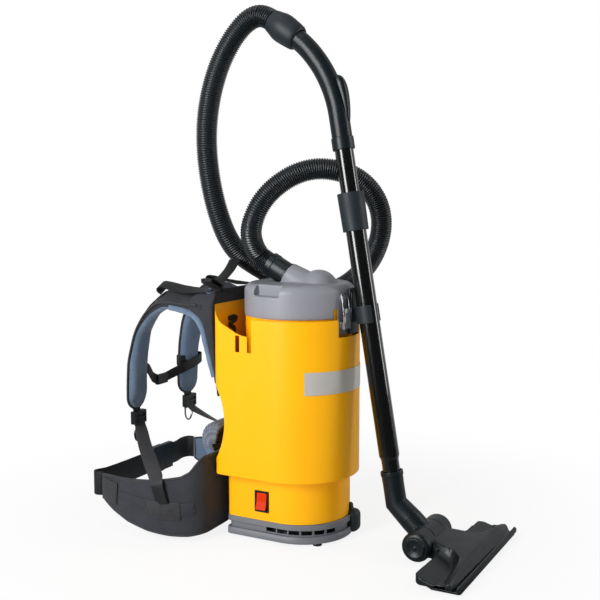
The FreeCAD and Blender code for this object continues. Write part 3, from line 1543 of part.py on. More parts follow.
def make_back_pads():
    """The pads that lie on the wearer: the back pad on the panel and the roll at the belt."""
    near = float(D.sleeve_back + D.gap)
    thick = float(D.pad_thick)
    low = float(D.pad_low)
    top = float(D.pad_top)
    outline = [
        (near, low), (near + thick * 0.35, low), (near + thick, low + thick * 3),
        (near + thick, top - 5), (near + thick * 0.7, top), (near, top + 2),
    ]
    node("back_pad", shape(side_panel(outline, -D.pad_half, D.pad_half)))
    front = near + float(D.belt_thick)
    belt_top = float(D.belt_top)
    seat = belt_top + 0.4
    swell = float(D.lumbar_swell)
    high = belt_top + float(D.lumbar_tall)
    lap = belt_top - float(D.lumbar_lap)
    outline = [
        (front + 0.3, lap), (front + 0.6 * swell, lap + 4), (front + 0.8 * swell, belt_top),
        (front + swell, belt_top + 14), (front + swell - 4, high - 4), (front + 10, high + 2),
        (near, high), (near, seat), (front + 0.3, seat),
    ]
    node("lumbar_pad", shape(side_panel(outline, -D.lumbar_half, D.lumbar_half)))


# One wing of the belt: its line from the end of the back section as (x, y), and its upper and
# lower edges as (y, z), with z from the top and the bottom of the back section.
WING_LINE = [(0.3, 6.8), (14, 7.5), (30, 17), (42, 36), (50, 61), (54, 91), (51, 138), (42, 184), (33, 213)]
WING_TOP = [(-10, 0), (8, 3), (29, -26), (51, -35), (86, -41), (143, -48), (218, -53)]
WING_LOW = [(-10, -15), (-1, -18), (26, -22), (56, -21), (101, -18), (144, -10), (180, 2), (218, 27)]


def make_belt():
    """The hip belt: a back section behind the sleeve and a padded wing to each side."""
    near = D.sleeve_back + D.gap
    thick = float(D.belt_thick)
    node("hip_belt_back", box((-D.belt_half, near, D.belt_low),
                              (D.belt_half, near + D.belt_thick, D.belt_top)))
    line = [belted(D.belt_half + x, y, 0) for x, y in WING_LINE]
    sides = ([], [])
    for index, spot in enumerate(line):
        ahead = line[min(index + 1, len(line) - 1)]
        back = line[max(index - 1, 0)]
        along = X_AXIS if index == 0 else (ahead - back).normalize()
        across = V(-along.y, along.x, 0)
        sides[0].append(spot + across * (thick / 2))
        sides[1].append(spot - across * (thick / 2))
    curves = []
    for side in sides:
        curve = Part.BSplineCurve()
        curve.interpolate(side)
        curves.append(curve)
    tip = Part.LineSegment(curves[0].EndPoint, curves[1].EndPoint)
    root = Part.LineSegment(curves[1].StartPoint, curves[0].StartPoint)
    wire = Part.Wire([curves[0].toShape(), tip.toShape(), curves[1].toShape(), root.toShape()])
    tall = Part.Face(wire).extrude(V(0, 0, 2 * float(D.belt_top)))
    back_face = float(D.sleeve_back)
    upper = [(back_face + y, float(D.belt_top) + z) for y, z in WING_TOP]
    lower = [(back_face + y, float(D.belt_low) + z) for y, z in WING_LOW]
    profile = smooth_band(upper, lower, D.belt_half / 2, 2 * D.belt_half)
    wing = tall.common(profile)
    node("hip_belt_wings", shape(Part.makeCompound([wing, wing.mirror(CENTRE, X_AXIS)])))


def make_waist_strap():
    """The waist webbing across the front of the belt, and the two halves of its buckle."""
    width = float(D.waist_web)
    thick = float(D.web_thick)
    z = float(D.waist_z)
    half = float(D.belt_half)
    reach = 234
    start = float(D.buckle_x)
    seam = start + float(D.gap + D.socket_length) + 0.4
    end = seam + float(D.plug_length) + 0.4
    around = [(half, reach - 1, z), (half + 21, reach - 4.5, z + 3), (half + 30, reach - 11.5, z + 4),
              (half + 32.7, reach - 20.2, z + 4)]
    near = [belted(-x, y, high) for x, y, high in reversed(around)]
    near += [belted(-half + 52, reach, z), belted(start, reach, z)]
    far = [belted(end, reach, z)] + [belted(*spot) for spot in around]
    webs = [strap_along(route, Z_AXIS, width, thick) for route in (near, far)]
    node("waist_webbing", shape(Part.makeCompound(webs)))
    margin = float(D.buckle_margin)
    deep = float(D.buckle_thick)
    body = Part.makeBox(float(D.socket_length), deep, width + 2 * margin,
                        belted(start + float(D.gap), reach - deep / 2, z - width / 2 - margin))
    room = Part.makeBox(float(D.socket_length), deep - 6, width - 8,
                        belted(start + 10.3, reach - deep / 2 + 3, z - width / 2 + 4))
    node("waist_buckle_socket", shape(body.cut(room)))
    tongue = Part.makeBox(float(D.tongue_length), deep - 8, width - 12,
                          belted(seam - float(D.tongue_length) + 1.3, reach - deep / 2 + 4,
                                 z - width / 2 + 6))
    stem = Part.makeBox(float(D.plug_length), deep - 2, width + 2 * margin - 2,
                        belted(seam, reach - deep / 2 + 1, z - width / 2 - margin + 1))
    node("waist_buckle_plug", shape(tongue.fuse(stem).removeSplitter()))


# One shoulder strap from the side, as y from the back panel and z from the top of the back pad.
STRAP_OUTER = [(20.8, -4), (47, 1), (71, 6), (94, 7), (119, 2), (147, -25), (162, -50),
               (173, -77), (180, -105), (185, -133), (188, -180), (188, -226)]
STRAP_INNER = [(20.8, -23), (47, -18), (71, -13), (92, -12), (110, -17), (131, -36), (145, -58),
               (155, -83), (162, -110), (166, -136), (169, -180), (169, -226)]
LOCK_Y = 174.5
LOCK_Z = -250.3


def make_shoulder_straps():
    """The two padded shoulder straps, over the shoulders and down the chest."""
    inner = D.strap_inner
    outer = D.strap_inner + D.strap_width
    back_face = float(D.sleeve_back)
    top = float(D.pad_top)
    upper = [(back_face + y, top + z) for y, z in STRAP_OUTER]
    lower = [(back_face + y, top + z) for y, z in STRAP_INNER]
    strap = smooth_band(upper, lower, inner, outer)
    node("shoulder_straps", shape(Part.makeCompound([strap, strap.mirror(CENTRE, X_AXIS)])))
    middle = float(inner + outer) / 2
    wide = float(D.lock_wide)
    deep = float(D.lock_thick)
    locks = []
    webs = []
    for side in (-1, 1):
        x = side * middle
        lock = Part.makeBox(wide, deep, float(D.lock_tall), worn(x - wide / 2, LOCK_Y, LOCK_Z))
        slots = []
        for lift in (3.3, 13.3):
            slots.append(Part.makeBox(wide - 8, deep + 2, 5,
                                      worn(x - wide / 2 + 4, LOCK_Y - 1, LOCK_Z + lift)))
        locks.append(lock.cut(slots))
        belt = float(D.belt_top)
        route = [worn(x, LOCK_Y + 2, LOCK_Z - 0.3), worn(x * 1.08, LOCK_Y - 0.5, LOCK_Z - 27.7),
                 belted(x * 1.4, 158, belt - 23), belted(x * 1.8, 126, belt - 42)]
        webs.append(strap_along(route, (1, 0, 0), D.web_width, D.web_thick))
    node("ladder_locks", shape(Part.makeCompound(locks)))
    node("lower_webbing", shape(Part.makeCompound(webs)))


def make_chest_strap():
    """The chest strap between the shoulder straps, with its buckle at the middle."""
    inner = float(D.strap_inner)
    half = float(D.chest_buckle_half)
    deep = float(D.chest_buckle_thick)
    tall = float(D.chest_buckle_tall)
    near = [worn(-inner + 0.4, 177, -160), worn(-inner + 10, 179, -164), worn(-inner + 24, 184, -175),
            worn(-half - 0.4, 187, -181)]
    far = [worn(half + 0.4, 187, -181), worn(inner - 24, 184, -178), worn(inner - 10, 179, -170),
           worn(inner - 0.4, 177, -166)]
    straps = [strap_along(route, Z_AXIS, D.chest_web, D.web_thick) for route in (near, far)]
    node("chest_strap", shape(Part.makeCompound(straps)))
    corner = worn(-half, 187 - deep / 2, -181 - tall / 2)
    node("chest_buckle", shape(Part.makeBox(2 * half, deep, tall, corner)))


def make_small_fittings():
    """The hose holder strap, and the hook and the ring that hang on the shoulder straps."""
    holder = [worn(-72, 10, 2.4), worn(-70, 10, 12), worn(-64, 10, 20), worn(-48, 10, 26),
              worn(-28, 11, 35), worn(-13, 13, 46)]
    strap = strap_along(holder, Y_AXIS, D.web_width, D.web_thick)
    node("hose_holder_strap", shape(strap))
    middle = float(D.strap_inner) + float(D.strap_width) / 2
    front = LOCK_Y + 7.7
    hook_wire = float(D.hook_wire)
    hook_z = LOCK_Z - float(D.gap) - hook_wire - 0.1
    line = [(0, hook_z), (-1, LOCK_Z - 9), (-9, LOCK_Z - 17.7), (-5, LOCK_Z - 30.7),
            (5, LOCK_Z - 33.7), (11, LOCK_Z - 25.7), (10, LOCK_Z - 14.7)]
    hook = pipe(route_edges([worn(x - middle, front, z) for x, z in line]), hook_wire)
    barrel = Part.makeCylinder(hook_wire + 0.1, 12, worn(-middle - 6, front, hook_z), X_AXIS)
    node("strap_hook", shape(barrel.fuse(hook).removeSplitter()))
    wire = float(D.ring_wire)
    bar_z = LOCK_Z - float(D.gap) - wire - 0.1
    half = 12
    line = [(-half, bar_z), (-half, LOCK_Z - 19.7), (0, LOCK_Z - 30.7), (half, LOCK_Z - 19.7),
            (half, bar_z)]
    loop = pipe(route_edges([worn(x + middle, front, z) for x, z in line]), wire)
    bar = Part.makeCylinder(wire, 2 * half + 4, worn(middle - half - 2, front, bar_z), X_AXIS)
    node("strap_ring", shape(loop.fuse(bar)))


make_feet()
make_base()
make_housing()
make_switch()
make_cord_inlet()
make_motor()
make_tank()
make_filters()
make_sleeve()
make_label()
make_lid()
make_hose()
make_tubes()
make_handle()
make_wand_clip()
make_latch()
make_elbow()
make_knuckle()
make_head()
make_sole()
make_back_pads()
make_belt()
make_waist_strap()
make_shoulder_straps()
make_chest_strap()
make_small_fittings()

doc.recompute()
faults = []
for thing in doc.Objects:
    if "Invalid" in thing.State or "Error" in thing.State:
        faults.append("%s: %s" % (thing.Label, thing.State))
for thing in nodes:
    if thing.Shape.isNull() or not thing.Shape.Solids or not thing.Shape.isValid():
        faults.append("%s: no valid solid" % thing.Label)
if faults:
    raise RuntimeError("\n".join(faults))

os.makedirs("parts", exist_ok=True)
for thing in nodes:
    solids = thing.Shape.Solids
    whole = solids[0] if len(solids) == 1 else Part.makeCompound(solids)
    whole.exportStep("parts/%s.step" % thing.Label)
print(len(nodes), "nodes written")
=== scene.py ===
# %% [markdown]
# # A backpack vacuum cleaner
# The machine is a yellow drum with a grey lid. It hangs on a padded harness, and a ribbed hose
# leads from the lid to a telescopic wand that is parked in a clip on the drum. The exact solids
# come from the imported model. This lesson gives each of them the surface that the eye expects:
# rounded moulded edges, woven cloth, stitching, ribs and gloss.

# %% Load the fixed frame
import math

import bmesh
import bpy
from mathutils import Matrix, Vector


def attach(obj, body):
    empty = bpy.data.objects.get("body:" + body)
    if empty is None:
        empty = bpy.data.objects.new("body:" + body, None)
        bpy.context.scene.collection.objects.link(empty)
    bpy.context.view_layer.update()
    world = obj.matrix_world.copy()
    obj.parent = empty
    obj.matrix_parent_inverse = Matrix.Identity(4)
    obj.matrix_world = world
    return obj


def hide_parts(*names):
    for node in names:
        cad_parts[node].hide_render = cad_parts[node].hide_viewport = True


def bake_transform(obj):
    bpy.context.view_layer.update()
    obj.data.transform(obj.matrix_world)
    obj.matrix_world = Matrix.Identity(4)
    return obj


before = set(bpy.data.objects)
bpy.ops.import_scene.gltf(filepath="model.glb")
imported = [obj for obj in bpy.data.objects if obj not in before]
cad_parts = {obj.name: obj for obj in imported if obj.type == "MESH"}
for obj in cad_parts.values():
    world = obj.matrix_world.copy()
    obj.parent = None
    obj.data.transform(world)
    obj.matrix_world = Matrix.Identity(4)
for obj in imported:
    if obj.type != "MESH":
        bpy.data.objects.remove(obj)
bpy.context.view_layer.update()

MM = 0.001

# %% [markdown]
# ## The camera
# A product picture is taken with a long lens from a few paces away, so that upright lines stay
# nearly parallel. The camera stands to the left of the machine, 62 degrees round from its front,
# and looks slightly down. Its place follows from the angle, the height and the distance.

# %% Camera
CAMERA_TURN, CAMERA_PITCH = math.radians(-62.0), 0.1122
CAMERA_DISTANCE, CAMERA_SHIFT, LENS_MM = 1.7062, 0.0004, 58.176
CAMERA_TARGET = Vector((0, 0, 0.4164))


def placed(name, data):
    """A new object in the scene."""
    thing = bpy.data.objects.new(name, data)
    bpy.context.scene.collection.objects.link(thing)
    return thing


level_back = Vector((math.sin(CAMERA_TURN), -math.cos(CAMERA_TURN), 0))
to_right = Vector((math.cos(CAMERA_TURN), math.sin(CAMERA_TURN), 0))
back = level_back * math.cos(CAMERA_PITCH) + Vector((0, 0, math.sin(CAMERA_PITCH)))
camera = placed("camera", bpy.data.cameras.new("camera"))
camera.data.lens, camera.data.sensor_width = LENS_MM, 36
camera.location = CAMERA_TARGET + back * CAMERA_DISTANCE + to_right * CAMERA_SHIFT
camera.rotation_mode = "QUATERNION"
camera.rotation_quaternion = (-back).to_track_quat("-Z", "Y")
bpy.context.scene.camera = camera
bpy.context.scene.view_settings.view_transform = "Standard"
print("camera at", [round(v, 3) for v in camera.location])

# %% [markdown]
# ## Small tools for modelling
# An operator works on whatever is selected, and after loading all the CAD parts are selected, so
# each step first clears the selection. A CAD part is stored as loose triangles: its copy is
# merged, flat areas become single faces, and the hard edges get a small bevel, because the narrow
# highlight on a rounded edge is what makes plastic look like plastic.

# %% Selecting and editing
def mm(*values):
    """A place given in millimetres."""
    return Vector(values) * MM


def deselect():
    """Leave nothing selected."""
    bpy.ops.object.select_all(action="DESELECT")


def pick(piece):
    """Make one object the only selected one, and the active one."""
    deselect()
    piece.select_set(True)
    bpy.context.view_layer.objects.active = piece
    return piece


def edit(kind=None):
    """Go to edit mode, with everything selected, to pick out vertices or edges."""
    bpy.ops.object.mode_set(mode="EDIT")
    if kind:
        bpy.ops.mesh.select_mode(type=kind)
    bpy.ops.mesh.select_all(action="SELECT")


def edited(piece, step, **settings):
    """Run one edit-mode operator on a whole piece."""
    pick(piece)
    edit()
    step(**settings)
    bpy.ops.object.mode_set(mode="OBJECT")
    return piece


def named(name):
    """Name the object that an operator has just added, with its turn and size in its mesh."""
    piece = bpy.context.view_layer.objects.active
    piece.name = piece.data.name = name
    bpy.ops.object.transform_apply(location=True, rotation=True, scale=True)
    return piece


def apply_modifier(piece, kind, **settings):
    """Add a modifier with its settings and apply it at once."""
    pick(piece)
    modifier = piece.modifiers.new(kind.lower(), kind)
    for name, value in settings.items():
        setattr(modifier, name, value)
    bpy.ops.object.modifier_apply(modifier=modifier.name)
    return piece

# %% Copying a solid, rounding its edges, rebuilding and joining
def merge(piece):
    """Join vertices that lie on each other."""
    return edited(piece, bpy.ops.mesh.remove_doubles, threshold=0.02 * MM)


def face_out(piece):
    """Point every face of a closed mesh outwards."""
    return edited(piece, bpy.ops.mesh.normals_make_consistent, inside=False)


def cad_copy(name, node, flat=True):
    """A copy of a CAD node's mesh, merged. flat turns triangles in one plane into one face."""
    mesh = bpy.data.meshes.new(name)
    gathered = bmesh.new()
    gathered.from_mesh(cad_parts[node].data)
    gathered.to_mesh(mesh)
    gathered.free()
    mesh.materials.clear()
    piece = merge(placed(name, mesh))
    if flat:
        edited(piece, bpy.ops.mesh.dissolve_limited, angle_limit=math.radians(0.6))
    return piece


def smooth(piece, degrees):
    """Shade smoothly, except over edges sharper than an angle."""
    pick(piece)
    bpy.ops.object.shade_smooth_by_angle(angle=math.radians(degrees))
    return piece


def rounded(piece, width_mm, steps=2, degrees=32, smooth_degrees=50):
    """Round the sharp edges, and let the big faces decide the shading next to them."""
    apply_modifier(piece, "BEVEL", width=width_mm * MM, segments=steps, limit_method="ANGLE",
                   angle_limit=math.radians(degrees), use_clamp_overlap=False,
                   miter_outer="MITER_ARC")
    smooth(piece, smooth_degrees)
    return apply_modifier(piece, "WEIGHTED_NORMAL", keep_sharp=True)


def remeshed(piece, voxel_mm, passes):
    """Rebuild a shape as an even skin, then relax it so that its edges become round."""
    apply_modifier(piece, "REMESH", mode="VOXEL", voxel_size=voxel_mm * MM, adaptivity=0)
    return apply_modifier(piece, "SMOOTH", factor=0.5, iterations=passes)


def joined(name, *things):
    """Join several meshes to one."""
    deselect()
    for thing in things:
        thing.select_set(True)
    bpy.context.view_layer.objects.active = things[0]
    bpy.ops.object.join()
    things[0].name = things[0].data.name = name
    return things[0]

# %% Finish and body of a piece
def finished(piece, finish, body="root", nodes=()):
    """Give a piece its finish, set it on its body, and hide what it stands for."""
    if finish is not None:
        piece.data.materials.clear()
        piece.data.materials.append(finish)
    if nodes:
        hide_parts(*nodes)
    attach(piece, body)
    print("made", piece.name, "faces", len(piece.data.polygons), "on", body)
    return piece

# %% [markdown]
# ## Finishes
# Every finish starts from what the real material is. Colours are written as the sRGB hex values
# that a paint program shows, and one function turns them into the linear values that the
# renderer wants. Another small function adds a node to a material, so a finish reads as a list.
# A Mix node's sockets are taken by number, because the ones for colours share their names with
# the ones for plain numbers.

# %% Colour and node helpers
MIX_A, MIX_B, MIX_COLOUR = 6, 7, 2


def linear(code):
    """An sRGB hex colour as linear red, green, blue and alpha."""
    parts = []
    for start in (1, 3, 5):
        value = int(code[start:start + 2], 16) / 255
        parts.append(value / 12.92 if value <= 0.04045 else ((value + 0.055) / 1.055) ** 2.4)
    return (*parts, 1.0)


def put(tree, kind, feeds, out=0, **settings):
    """Add one node and give its output. feeds gives an input a number, a colour or a link."""
    node = tree.nodes.new("ShaderNode" + kind)
    for name, value in settings.items():
        setattr(node, name, value)
    for name, value in feeds.items():
        if isinstance(value, bpy.types.NodeSocket):
            tree.links.new(value, node.inputs[name])
        else:
            node.inputs[name].default_value = value
    return node.outputs[out]


def new_finish(name, **sockets):
    """A material with one Principled shader, whose plain sockets are set by name."""
    finish = bpy.data.materials.new(name)
    finish.use_nodes = True
    tree = finish.node_tree
    for key, value in sockets.items():
        tree.nodes["Principled BSDF"].inputs[key.replace("_", " ")].default_value = value
    return finish, tree, put(tree, "TexCoord", {}, "Object")


def dressed(finish, **links):
    """Link what was worked out to the shader's sockets, by name."""
    tree = finish.node_tree
    for key, link in links.items():
        tree.links.new(link, tree.nodes["Principled BSDF"].inputs[key.replace("_", " ")])
    return finish

# %% [markdown]
# ### Moulded plastic
# The drum, the lid and the fittings are injection moulded. The steel mould is spark eroded, which
# leaves a grain of just under a millimetre on the part, and the eye reads it as a soft, slightly
# broken highlight. A wide noise shifts the tone by a few percent, a middle one changes the gloss
# where hands have polished the part, and a fine one is the grain in the bump. A Bevel node finds
# the edges, which are rubbed a little paler than the rest.

# %% Moulded plastic
TONE_CLOUD, RUBBED_CLOUD, TOUCHED_CLOUD, EDGE_ROUND, EDGE_WEAR = 11.0, 160.0, 35.0, 0.0012, 0.3


def moulded(name, tone, second_tone, worn_tone, gloss, grain_mm, grain_depth_mm, shine=0.5):
    """An injection-moulded plastic. gloss is the range of its roughness."""
    finish, tree, place = new_finish(name, IOR=1.53, Specular_IOR_Level=shine)
    cloud, rubbed, touched, grain = (
        put(tree, "TexNoise", {"Vector": place, "Scale": scale, "Detail": detail})
        for scale, detail in ((TONE_CLOUD, 2.0), (RUBBED_CLOUD, 3.0), (TOUCHED_CLOUD, 4.0),
                              (1 / (grain_mm * MM), 2.0)))
    tones = put(tree, "Mix", {0: cloud, MIX_A: linear(tone), MIX_B: linear(second_tone)},
                MIX_COLOUR, data_type="RGBA")
    soft_edge = put(tree, "Bevel", {"Radius": EDGE_ROUND}, samples=4)
    match = put(tree, "VectorMath", {0: soft_edge, 1: put(tree, "NewGeometry", {}, "Normal")},
                "Value", operation="DOT_PRODUCT")
    edge = put(tree, "MapRange", {"Value": match, "From Min": 0.985, "From Max": 0.90,
                                  "To Max": EDGE_WEAR})
    worn = put(tree, "Math", {0: edge, 1: rubbed}, operation="MULTIPLY")
    colour = put(tree, "Mix", {0: worn, MIX_A: tones, MIX_B: linear(worn_tone)}, MIX_COLOUR,
                 data_type="RGBA")
    rough = put(tree, "MapRange", {"Value": touched, "From Min": 0.3, "From Max": 0.7,
                                   "To Min": gloss[0], "To Max": gloss[1]})
    bump = put(tree, "Bump", {"Height": grain, "Strength": 0.5, "Distance": grain_depth_mm * MM})
    return dressed(finish, Base_Color=colour, Roughness=rough, Normal=bump)


yellow = moulded("moulded_abs_yellow", "#FFB200", "#FFB806", "#FFD25A", (0.30, 0.42), 0.9, 0.04,
                 0.2)
grey = moulded("moulded_abs_grey", "#898B92", "#909299", "#C4C6CA", (0.38, 0.52), 0.8, 0.06)
dark_grey = moulded("moulded_abs_slate", "#6C6F76", "#74777E", "#9EA1A6", (0.40, 0.55), 0.8, 0.07)
black = moulded("moulded_polypropylene_black", "#0A1216", "#101A1F", "#4A4E52", (0.33, 0.41), 0.7,
                0.02, 0.42)
soft_black = moulded("moulded_elastomer_black", "#1A2126", "#232B31", "#3E4246", (0.44, 0.56), 0.8,
                     0.04, 0.4)
red = moulded("moulded_polycarbonate_red", "#CC2C00", "#D83A00", "#F07040", (0.2, 0.3), 1.2, 0.02,
              0.12)
print("moulded finishes", [m.name for m in (yellow, grey, dark_grey, black, soft_black, red)])

# %% [markdown]
# ### Lacquered tube, hose, metals
# The wand is aluminium tube with a black gloss lacquer: a dark base under a clear coat, so the
# highlight runs down it in one clean stripe. The hose is extruded polyvinyl chloride, with its
# ribs made as real geometry and a little dust in its tone.

# %% Lacquered tube, and hose
gloss_tube, tree, place = new_finish("lacquered_aluminium_black", IOR=1.5, Specular_IOR_Level=0.5,
                                     Coat_Weight=1.0, Coat_Roughness=0.05, Coat_IOR=1.5)
drawn = put(tree, "Mapping", {"Vector": place, "Scale": (900.0, 900.0, 6.0)})
scratch = put(tree, "TexNoise", {"Vector": drawn, "Scale": 1.0, "Detail": 2.0})
handled = put(tree, "TexNoise", {"Vector": place, "Scale": 22.0, "Detail": 4.0})
tone = put(tree, "Mix", {0: handled, MIX_A: linear("#030405"), MIX_B: linear("#07090A")},
           MIX_COLOUR, data_type="RGBA")
rough = put(tree, "MapRange", {"Value": scratch, "From Min": 0.3, "From Max": 0.7,
                               "To Min": 0.16, "To Max": 0.26})
dressed(gloss_tube, Base_Color=tone, Roughness=rough)

hose_finish, tree, place = new_finish("extruded_pvc_black", IOR=1.53, Specular_IOR_Level=0.5,
                                      Coat_Weight=0.4, Coat_Roughness=0.2)
dust = put(tree, "TexNoise", {"Vector": place, "Scale": 60.0, "Detail": 5.0, "Roughness": 0.65})
tone = put(tree, "Mix", {0: dust, MIX_A: linear("#0C1216"), MIX_B: linear("#192126")},
           MIX_COLOUR, data_type="RGBA")
rough = put(tree, "MapRange", {"Value": dust, "From Min": 0.3, "From Max": 0.7,
                               "To Min": 0.34, "To Max": 0.5})
dressed(hose_finish, Base_Color=tone, Roughness=rough)
print("finishes of the wand and the hose", gloss_tube.name, hose_finish.name)

# %% [markdown]
# Metal parts share one recipe: a metallic shader, a slow change of tone from handling, and fine
# streaks in the direction in which the metal was drawn, rolled or brushed. Plated sheet and foil
# are set less metallic than bare steel, because their thin, dull layer mirrors little.

# %% Metals
HANDLED_CLOUD, STREAK_MM, STREAK_DEPTH_MM = 40.0, 0.4, 0.03


def metal(name, tone, second_tone, roughness, streak, share=1.0):
    """A metal. streak is how far the fine lines are stretched along each axis."""
    finish, tree, place = new_finish(name, Metallic=share)
    cloud = put(tree, "TexNoise", {"Vector": place, "Scale": HANDLED_CLOUD, "Detail": 3.0})
    drawn = put(tree, "Mapping", {"Vector": place, "Scale": streak})
    lines = put(tree, "TexNoise", {"Vector": drawn, "Scale": 1 / (STREAK_MM * MM), "Detail": 2.0})
    colour = put(tree, "Mix", {0: cloud, MIX_A: linear(tone), MIX_B: linear(second_tone)},
                 MIX_COLOUR, data_type="RGBA")
    rough = put(tree, "MapRange", {"Value": lines, "From Min": 0.3, "From Max": 0.7,
                                   "To Min": roughness[0], "To Max": roughness[1]})
    bump = put(tree, "Bump", {"Height": lines, "Strength": 0.25, "Distance": STREAK_DEPTH_MM * MM})
    return dressed(finish, Base_Color=colour, Roughness=rough, Normal=bump)


zinc = metal("zinc_plated_steel", "#C9CBCD", "#B4B8BC", (0.22, 0.36), (1.0, 1.0, 0.2))
plated = metal("satin_zinc_plate", "#9A9DA0", "#868A8E", (0.4, 0.52), (1.0, 1.0, 0.3), 0.45)
label_finish = metal("brushed_foil_plate", "#D9D8D2", "#CFCDC5", (0.4, 0.52), (0.06, 0.06, 1.0),
                     0.35)
motor_steel = metal("laminated_motor_steel", "#A8AAAC", "#8C9094", (0.30, 0.45), (0.3, 0.3, 2.0))
copper = metal("enamelled_copper_winding", "#B8683A", "#8E4A26", (0.25, 0.4), (2.0, 2.0, 0.2))
fan_metal = metal("spun_aluminium", "#D0D2D4", "#BEC1C4", (0.25, 0.38), (0.2, 0.2, 1.0))
print("metals", [m.name for m in (zinc, plated, label_finish, motor_steel, copper, fan_metal)])

# %% [markdown]
# ### Cloth
# The harness is sewn from three cloths. The outside is a charcoal polyester with a plain weave, the
# side that touches the wearer is a brushed blue-grey spacer knit, and the straps are polyester
# webbing with a ribbed weave. All three need to know which way their threads run, so they read a
# UV map whose unit is the metre, laid along each piece. A real thread is about 0.5 mm; it is drawn
# at 1.6 mm here, because a finer one would vanish in the picture.

# %% Cloth
WAVE_UNIT, WORN_CLOUD, HAIR_CLOUD = 20, 26.0, 900.0


def woven(name, tone, second_tone, pitch_mm, depth_mm, roughness, sheen, slant=0.0, fuzz=0.2):
    """A woven or knitted cloth: two crossed waves are its threads, and noise is its fuzz."""
    finish, tree, place = new_finish(name, IOR=1.46, Sheen_Weight=sheen, Sheen_Roughness=0.45,
                                     Roughness=roughness)
    lay = put(tree, "UVMap", {}, uv_map="cloth")
    turned = put(tree, "Mapping", {"Vector": lay, "Rotation": (0.0, 0.0, slant)})
    threads = [put(tree, "TexWave", {"Vector": turned, "Distortion": 0.35, "Detail": 1.0,
                                     "Scale": math.tau / (WAVE_UNIT * pitch_mm * MM),
                                     "Detail Scale": 2.0},
                   "Fac", wave_type="BANDS", bands_direction=way) for way in ("X", "Y")]
    weave = put(tree, "Math", {0: threads[0], 1: threads[1]}, operation="MULTIPLY")
    worn = put(tree, "TexNoise", {"Vector": place, "Scale": WORN_CLOUD, "Detail": 5.0,
                                  "Roughness": 0.6})
    hairs = put(tree, "TexNoise", {"Vector": place, "Scale": HAIR_CLOUD, "Detail": 2.0})
    shaded = put(tree, "Math", {0: worn, 1: weave}, operation="ADD")
    share = put(tree, "MapRange", {"Value": shaded, "From Min": 0.3, "From Max": 1.3})
    colour = put(tree, "Mix", {0: share, MIX_A: linear(tone), MIX_B: linear(second_tone)},
                 MIX_COLOUR, data_type="RGBA")
    fluffy = put(tree, "Math", {0: hairs, 1: fuzz}, operation="MULTIPLY")
    height = put(tree, "Math", {0: weave, 1: fluffy}, operation="ADD")
    bump = put(tree, "Bump", {"Height": height, "Strength": 0.6, "Distance": depth_mm * MM})
    return dressed(finish, Base_Color=colour, Normal=bump)


charcoal = woven("woven_polyester_charcoal", "#1E2126", "#383B42", 1.6, 0.3, 0.78, 0.12)
lining = woven("brushed_spacer_knit", "#4C6078", "#7A90A8", 2.4, 0.5, 0.9, 0.3, 0.785, 0.5)
webbing = woven("ribbed_polyester_webbing", "#07090B", "#15191C", 1.8, 0.3, 0.6, 0.06, 0.6)
binding = woven("grosgrain_binding", "#222326", "#38393D", 1.2, 0.2, 0.65, 0.2)
thread = woven("bonded_nylon_thread", "#2E2F33", "#4C4D52", 0.6, 0.1, 0.5, 0.1, fuzz=0.1)
mesh_cloth = woven("grey_spacer_mesh", "#4A505C", "#868E9E", 2.6, 0.6, 0.85, 0.25)
print("cloths", [m.name for m in (charcoal, lining, webbing, binding, thread, mesh_cloth)])

# %% [markdown]
# ### Felt, paper, bristle and rubber
# The parts inside the drum are hardly seen, yet each has its own finish: felt and paper are
# fibrous and scatter light, bristles are streaked along their length, rubber is dull and dusty.

# %% Fibrous and soft finishes
EVEN = (1.0, 1.0, 1.0)


def fibrous(name, tone, second_tone, roughness, stretch, fibre_mm, depth_mm, sheen=0.0):
    """A felt, paper, bristle or rubber. stretch is how far its fibres run along each axis."""
    finish, tree, place = new_finish(name, IOR=1.48, Sheen_Weight=sheen)
    combed = put(tree, "Mapping", {"Vector": place, "Scale": stretch})
    fibres = put(tree, "TexNoise", {"Vector": combed, "Scale": 1 / (fibre_mm * MM),
                                    "Detail": 4.0, "Roughness": 0.65})
    colour = put(tree, "Mix", {0: fibres, MIX_A: linear(tone), MIX_B: linear(second_tone)},
                 MIX_COLOUR, data_type="RGBA")
    rough = put(tree, "MapRange", {"Value": fibres, "To Min": roughness[0],
                                   "To Max": roughness[1]})
    bump = put(tree, "Bump", {"Height": fibres, "Strength": 0.6, "Distance": depth_mm * MM})
    return dressed(finish, Base_Color=colour, Roughness=rough, Normal=bump)


felt = fibrous("needled_filter_felt", "#D8D6CC", "#F0EEE6", (0.85, 0.98), EVEN, 0.6, 0.15, 0.3)
foam = fibrous("open_cell_filter_foam", "#101113", "#1E2023", (0.9, 1.0), EVEN, 1.2, 0.4)
paper = fibrous("crepe_filter_paper", "#CDBE9C", "#E2D6B8", (0.8, 0.95), (1.0, 1.0, 0.3), 0.8, 0.1)
bristle = fibrous("nylon_bristle", "#1C1C1E", "#3A3A3E", (0.5, 0.7), (3.0, 3.0, 0.1), 0.5, 0.2)
rubber = fibrous("moulded_rubber_black", "#161718", "#242628", (0.65, 0.85), EVEN, 1.0, 0.05)
print("soft finishes", [m.name for m in (felt, foam, paper, bristle, rubber)])

# %% [markdown]
# ## The hose
# The hose is one fixed length of something flexible, so its line is one smooth curve: a NURBS
# spline whose control points are the places that it is led through. It leaves the lid, stands up
# in an arch, falls behind the wand and comes round the back of the drum up to the handle. The
# spline's order is set once its points are there: set earlier, it would stay at straight runs.

